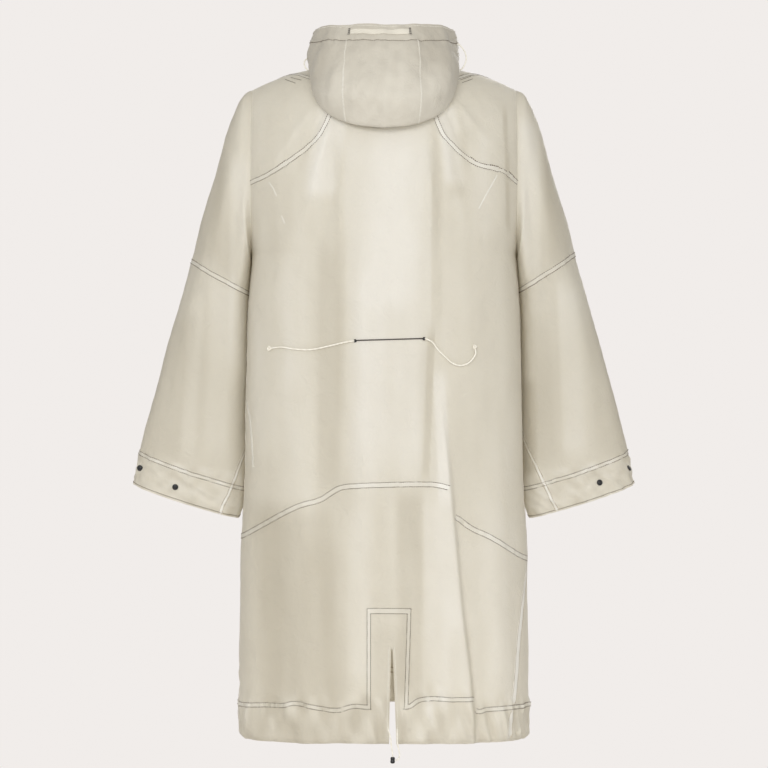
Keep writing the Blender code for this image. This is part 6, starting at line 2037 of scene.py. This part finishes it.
    def sew_sides(self) -> None:
        """Side seams and the stitched edge of each armhole."""
        form = self.plan.form
        for side in (-1, 1):
            z = dense(form.armpit_z - 0.002, form.hem_z + 0.004)
            path = SurfacePath(form.ring_surface, form.side_angle(side, z), z)
            self.sewing.felled(path, Thread.TAN, width=self.side_band, bright=1.2)
            x = np.full(900, side * (form.armhole_x - self.armhole_edge))
            low = form.place_from_height(x[:1], np.array([form.armpit_z + 0.004]), False)[0]
            high = form.place_from_height(x[:1], np.array([form.armpit_z + 0.004]), True)[0]
            path = SurfacePath(form.shoulder_surface, x, dense(float(low), float(high)))
            self.sewing.run(path, 0.0, Thread.PALE, lift=0.0003)

    def sew_front(self) -> None:
        """Placket edges and the fronts' hem band seams."""
        plan, form = self.plan, self.plan.form
        for side in (-1, 1):
            x = np.full(900, side * plan.placket_half_width)
            top = float(form.place_from_height(x[:1], np.array([-0.06]), True)[0])
            hem = np.array([form.hem_z + form.front_hem_rise + 0.003])
            low = float(form.place_from_height(x[:1], hem, True)[0])
            path = SurfacePath(form.shoulder_surface, x, dense(top, low))
            self.sewing.felled(path, width=self.placket_band, offset=side * 0.0042)
            edge = float(np.abs(form.side_angle(side, np.array(-1.09))))
            centre = math.pi - float(plan.placket_angle(np.array(-1.05))) - 0.02
            angle = side * dense(edge + 0.01, centre)
            path = SurfacePath(form.ring_surface, angle,
                               form.hem_height(angle) + form.hem_band - 0.0035)
            self.sewing.felled(path, width=self.front_hem_band)


@dataclass
class Sleeve(Assembly):
    """Upper sleeve, lower sleeve and cuff of one side."""

    side: int = 1
    elbow_band: float = 0.0090
    cuff_band: float = 0.0080
    underarm_band: float = 0.0072
    # angle in degrees, ring
    underarm_left: Rows = ((172.0, 0.3), (171.0, 4.0), (168.0, 7.0), (156.5, 8.46), (141.0, 8.66),
                           (131.5, 8.93), (126.5, 9.27), (124.5, 9.97))
    underarm_right: Rows = ((172.0, 0.3), (171.0, 4.0), (166.0, 7.0), (151.0, 8.36),
                            (133.0, 8.64), (121.5, 9.03), (117.5, 9.50), (115.5, 9.97))

    def build(self) -> None:
        """Make the three shells and their seams."""
        form = SleeveForm(self.side)
        self.sewing.painted_light = form.painted_light
        name = "left" if self.side < 0 else "right"
        round_columns = steps((0.0, 1.0, self.count(0.55)))
        cloth = self.finishes.body
        for piece, start, end, length, above in (
                ("sleeve_upper", 0.0, form.elbow_ring, 0.33, "yoke"),
                ("sleeve_lower", form.elbow_ring, form.cuff_ring, 0.37, "sleeve_upper"),
                ("cuff", form.cuff_ring, form.end_ring, 0.06, "sleeve_lower")):
            def surface(u: Array, v: Array, start=start, end=end) -> Array:
                """Point of this part of the sleeve; u runs once round."""
                return form.surface(2 * math.pi * u, start + (end - start) * v)
            shell = Shell(surface, round_columns, steps((0.0, 1.0, self.count(length))),
                          wrap=True, flip=self.side < 0)
            self.settle(shell, f"{piece}_{name}", cloth,
                        rests_on=(f"{above}_{name}",))
        self.sew(form)
        self.finish_sewing(f"sleeve_{name}")

    def sew(self, form: SleeveForm) -> None:
        """Seams across the elbow and above the cuff, the underarm seam and the cuff's edge."""
        angle = dense(0.0, 2 * math.pi, 1500)
        for ring, width in ((form.elbow_ring, self.elbow_band), (form.cuff_ring, self.cuff_band)):
            self.sewing.felled(SurfacePath(form.surface, angle, np.full_like(angle, ring),
                                           self.side), width=width)
        edge = SurfacePath(form.surface, angle, np.full_like(angle, 9.93), self.side)
        self.sewing.run(edge, 0.0, lift=0.0002)
        rows = np.array(self.underarm_left if self.side < 0 else self.underarm_right)
        ring = dense(rows[0, 1], rows[-1, 1])
        degrees = smooth_table(rows[:, ::-1], ring)
        path = SurfacePath(form.surface, np.radians(degrees), ring, self.side)
        self.sewing.felled(path, Thread.TAN, width=self.underarm_band, bright=1.1)


@dataclass
class Hood(Assembly):
    """Hood panels, brim band and strap."""

    form: HoodForm = field(default_factory=HoodForm)
    seam_left: float = -0.150
    seam_right: float = 0.135
    band_level: float = 0.895
    brim_sag: float = 0.045
    strap_ends: tuple[float, float] = (-0.146, 0.110)
    strap_levels: tuple[float, float] = (0.930, 0.962)
    strap_lift: float = 0.0012

    def build(self) -> None:
        """Make the shells and their sewing."""
        self.sewing.painted_light = self.form.painted_light
        cloth = self.finishes.hood
        levels = steps((0.0, 0.42, self.count(0.10)), (0.42, self.band_level, self.count(0.20)))
        bounds = (-1.0, self.seam_left, self.seam_right, 1.0)
        lengths = (0.46, 0.125, 0.46)
        for i, name in enumerate(("hood_side_left", "hood_center", "hood_side_right")):
            columns = steps((bounds[i], bounds[i + 1], self.count(lengths[i])))
            self.settle(Shell(self.form.surface, columns, levels), name, cloth,
                        held="folded", rests_on=("back_upper", "yoke_left", "yoke_right"))
        columns = steps((-1.0, 1.0, self.count(1.0)))
        self.settle(Shell(self.form.surface, columns, steps((self.band_level, 1.0, 8))),
                    "hood_edge_band", cloth, held="folded",
                    rests_on=("hood_center",))
        columns = steps((*self.strap_ends, 60))
        strap = Shell(self.form.surface, columns, steps((*self.strap_levels, 6)),
                      lift=self.strap_lift, wall=0.0009)
        self.settle(strap, "hood_strap", self.finishes.tape, held="laid",
                    rests_on=("hood_edge_band",), kind="tape")
        self.sew()
        self.finish_sewing("hood")

    def sew(self) -> None:
        """Panel seams, brim stitches and the strap's bartacks."""
        level = dense(0.30, self.band_level)
        for station in (self.seam_left, self.seam_right):
            path = SurfacePath(self.form.surface, np.full_like(level, station), level)
            self.sewing.band(path, 0.0028, 0.0003, bright=0.6)
            self.sewing.run(path, 0.0, Thread.PALE, lift=0.0003)
        station = dense(-0.995, 0.995, 1500)
        sag = self.brim_sag * np.minimum((station / 0.42) ** 2, 1.3)
        for height, kind in ((self.band_level - 0.002 - sag, Thread.BROWN),
                             (np.full_like(station, 0.985), Thread.PALE)):
            self.sewing.run(SurfacePath(self.form.surface, station, height), 0.0, kind,
                            lift=0.0004)
        for end in self.strap_ends:
            inside = end + (0.004 if end < 0 else -0.004)
            for shift in (-0.0010, 0.0010):
                level = dense(self.strap_levels[0] - 0.01, self.strap_levels[1] + 0.01, 60)
                path = SurfacePath(self.form.surface, np.full_like(level, inside), level)
                self.sewing.run(path, shift, Thread.DARK, lift=0.0024, scale=1.1)


@dataclass
class Trim:
    """Snaps, toggle and the strip of the waist cord's exits."""

    finishes: Finishes
    body: BodyForm
    # node, side, ring, angle in degrees
    snaps: Sequence[tuple[str, int, float, float]] = (
        ("left_outer", -1, 9.32, 30.0), ("left_inner", -1, 9.46, 76.0),
        ("right_outer", 1, 9.36, 24.0), ("right_inner", 1, 9.40, 68.5))
    # radius, height
    snap_profile: Rows = ((0.0, 0.00215), (0.0012, 0.00213), (0.0024, 0.00200), (0.0032, 0.00170),
                          (0.0035, 0.00135), (0.0038, 0.00128), (0.0043, 0.00150),
                          (0.0049, 0.00140), (0.00525, 0.00095), (0.00530, 0.00030),
                          (0.00515, -0.00040))
    toggle_profile: Rows = ((0.0, 0.0), (0.0022, 0.0), (0.0031, 0.0004), (0.0037, 0.0016),
                            (0.0040, 0.0036), (0.0034, 0.0046), (0.0034, 0.0056),
                            (0.0040, 0.0066), (0.0038, 0.0092), (0.0030, 0.0105),
                            (0.0018, 0.0110), (0.0, 0.0110))
    toggle_top: Tone = (0.0148, -0.1540, -1.1680)
    toggle_axis: Tone = (-0.03, 0.0, -1.0)
    slot_ends: Rows = ((-0.049, -0.4620), (0.068, -0.4585))
    slot_height: float = 0.0021

    def lathe(self, name: str, profile: Rows, foot: Array, axis: Array) -> bpy.types.Object:
        """Turned form: the profile's radii swept round an axis from its foot."""
        rows = np.array(profile)
        axis = np.asarray(axis, float) / np.linalg.norm(axis)
        side = unit(np.cross(axis, np.array([0.31, 0.95, 0.05])))
        rise = np.cross(axis, side)
        turn = np.linspace(0.0, 2 * math.pi, 28, endpoint=False)
        ring = side[None] * np.cos(turn)[:, None] + rise[None] * np.sin(turn)[:, None]
        points = (np.asarray(foot) + rows[:, None, 1:] * axis[None, None]
                  + rows[:, None, :1] * ring[None])
        uvs = np.stack(np.meshgrid(rows[:, 1], turn * 0.004, indexing="ij"), axis=-1)
        mesh = MeshParts()
        mesh.add(points, grid_quads(len(rows), 28, wrap=True), uvs)
        obj = mesh.build(name, self.finishes.plastic, 40.0)
        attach(obj, "root")
        return obj

    def build_snaps(self) -> None:
        """Domed press studs on the cuffs."""
        for name, side, ring, degrees in self.snaps:
            form = SleeveForm(side)
            angle = np.array(math.radians(degrees))
            along, down = slopes_of(form.surface, angle, np.array(ring), 0.02)
            axis = unit(np.cross(along, down)) * side
            snap = self.lathe(f"snap_{name}", self.snap_profile,
                              form.surface(angle, np.array(ring)) + axis * 0.0003, axis)
            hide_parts(f"cuff_snap_{name}")

    def build_toggle(self) -> bpy.types.Object:
        """Barrel toggle on the hem cords."""
        toggle = self.lathe("hem_toggle_barrel", self.toggle_profile, np.array(self.toggle_top),
                            np.array(self.toggle_axis))
        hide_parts("hem_toggle")
        return toggle

    def build_slot(self) -> None:
        """Dark strip between the cord's exits, for the painted shade of the slot and its dark
        stitching, with an eyelet at each end.
        """
        (left_x, left_z), (right_x, right_z) = self.slot_ends

        def surface(u: Array, v: Array) -> Array:
            """Point of the dark strip."""
            x = left_x + (right_x - left_x) * u
            z = left_z + (right_z - left_z) * u - self.slot_height * v
            return self.body.shoulder_surface(x, self.body.place_from_height(x, z, False))
        # a dark sheet as painted shade of the slot's opening and its dark stitching
        shell = Shell(surface, steps((0.0, 1.0, 40)), steps((0.0, 1.0, 3)), flip=True,
                      wall=0.0008, lift=0.0009)
        slot_strip, _ = shell.build("waist_slot_dark_strip", self.finishes.dark)
        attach(slot_strip, "root")
        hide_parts("waist_slot")
        eyelet = ((0.0, 0.0002), (0.0013, 0.0002), (0.0015, 0.0010), (0.0021, 0.0013),
                  (0.0027, 0.0010), (0.0029, -0.0002))
        for name, x, z in (("left", left_x, left_z), ("right", right_x, right_z)):
            place = self.body.place_from_height(np.array(x), np.array(z - 0.0015), False)
            foot = self.body.shoulder_surface(np.array(x), place)
            self.lathe(f"waist_eyelet_{name}", eyelet, foot + (0.0, -0.0008, 0.0),
                       np.array([0.0, -1.0, 0.0]))


def main() -> None:
    """Build the studio, the cords and trim, then the garment."""
    logging.basicConfig(level=logging.INFO, format="%(name)s %(message)s")
    studio = Studio()
    studio.build_camera()
    finishes = Finishes()
    plan = BodyPlan()
    trim = Trim(finishes, plan.form)
    toggle = trim.build_toggle()
    Cords(plan.form, finishes).build(toggle)
    trim.build_snaps()
    trim.build_slot()
    Body(finishes, plan=plan).build()
    Sleeve(finishes, side=-1).build()
    Sleeve(finishes, side=1).build()
    Hood(finishes).build()
    studio.build_light()
    studio.build_floor()


if __name__ == "__main__":
    main()
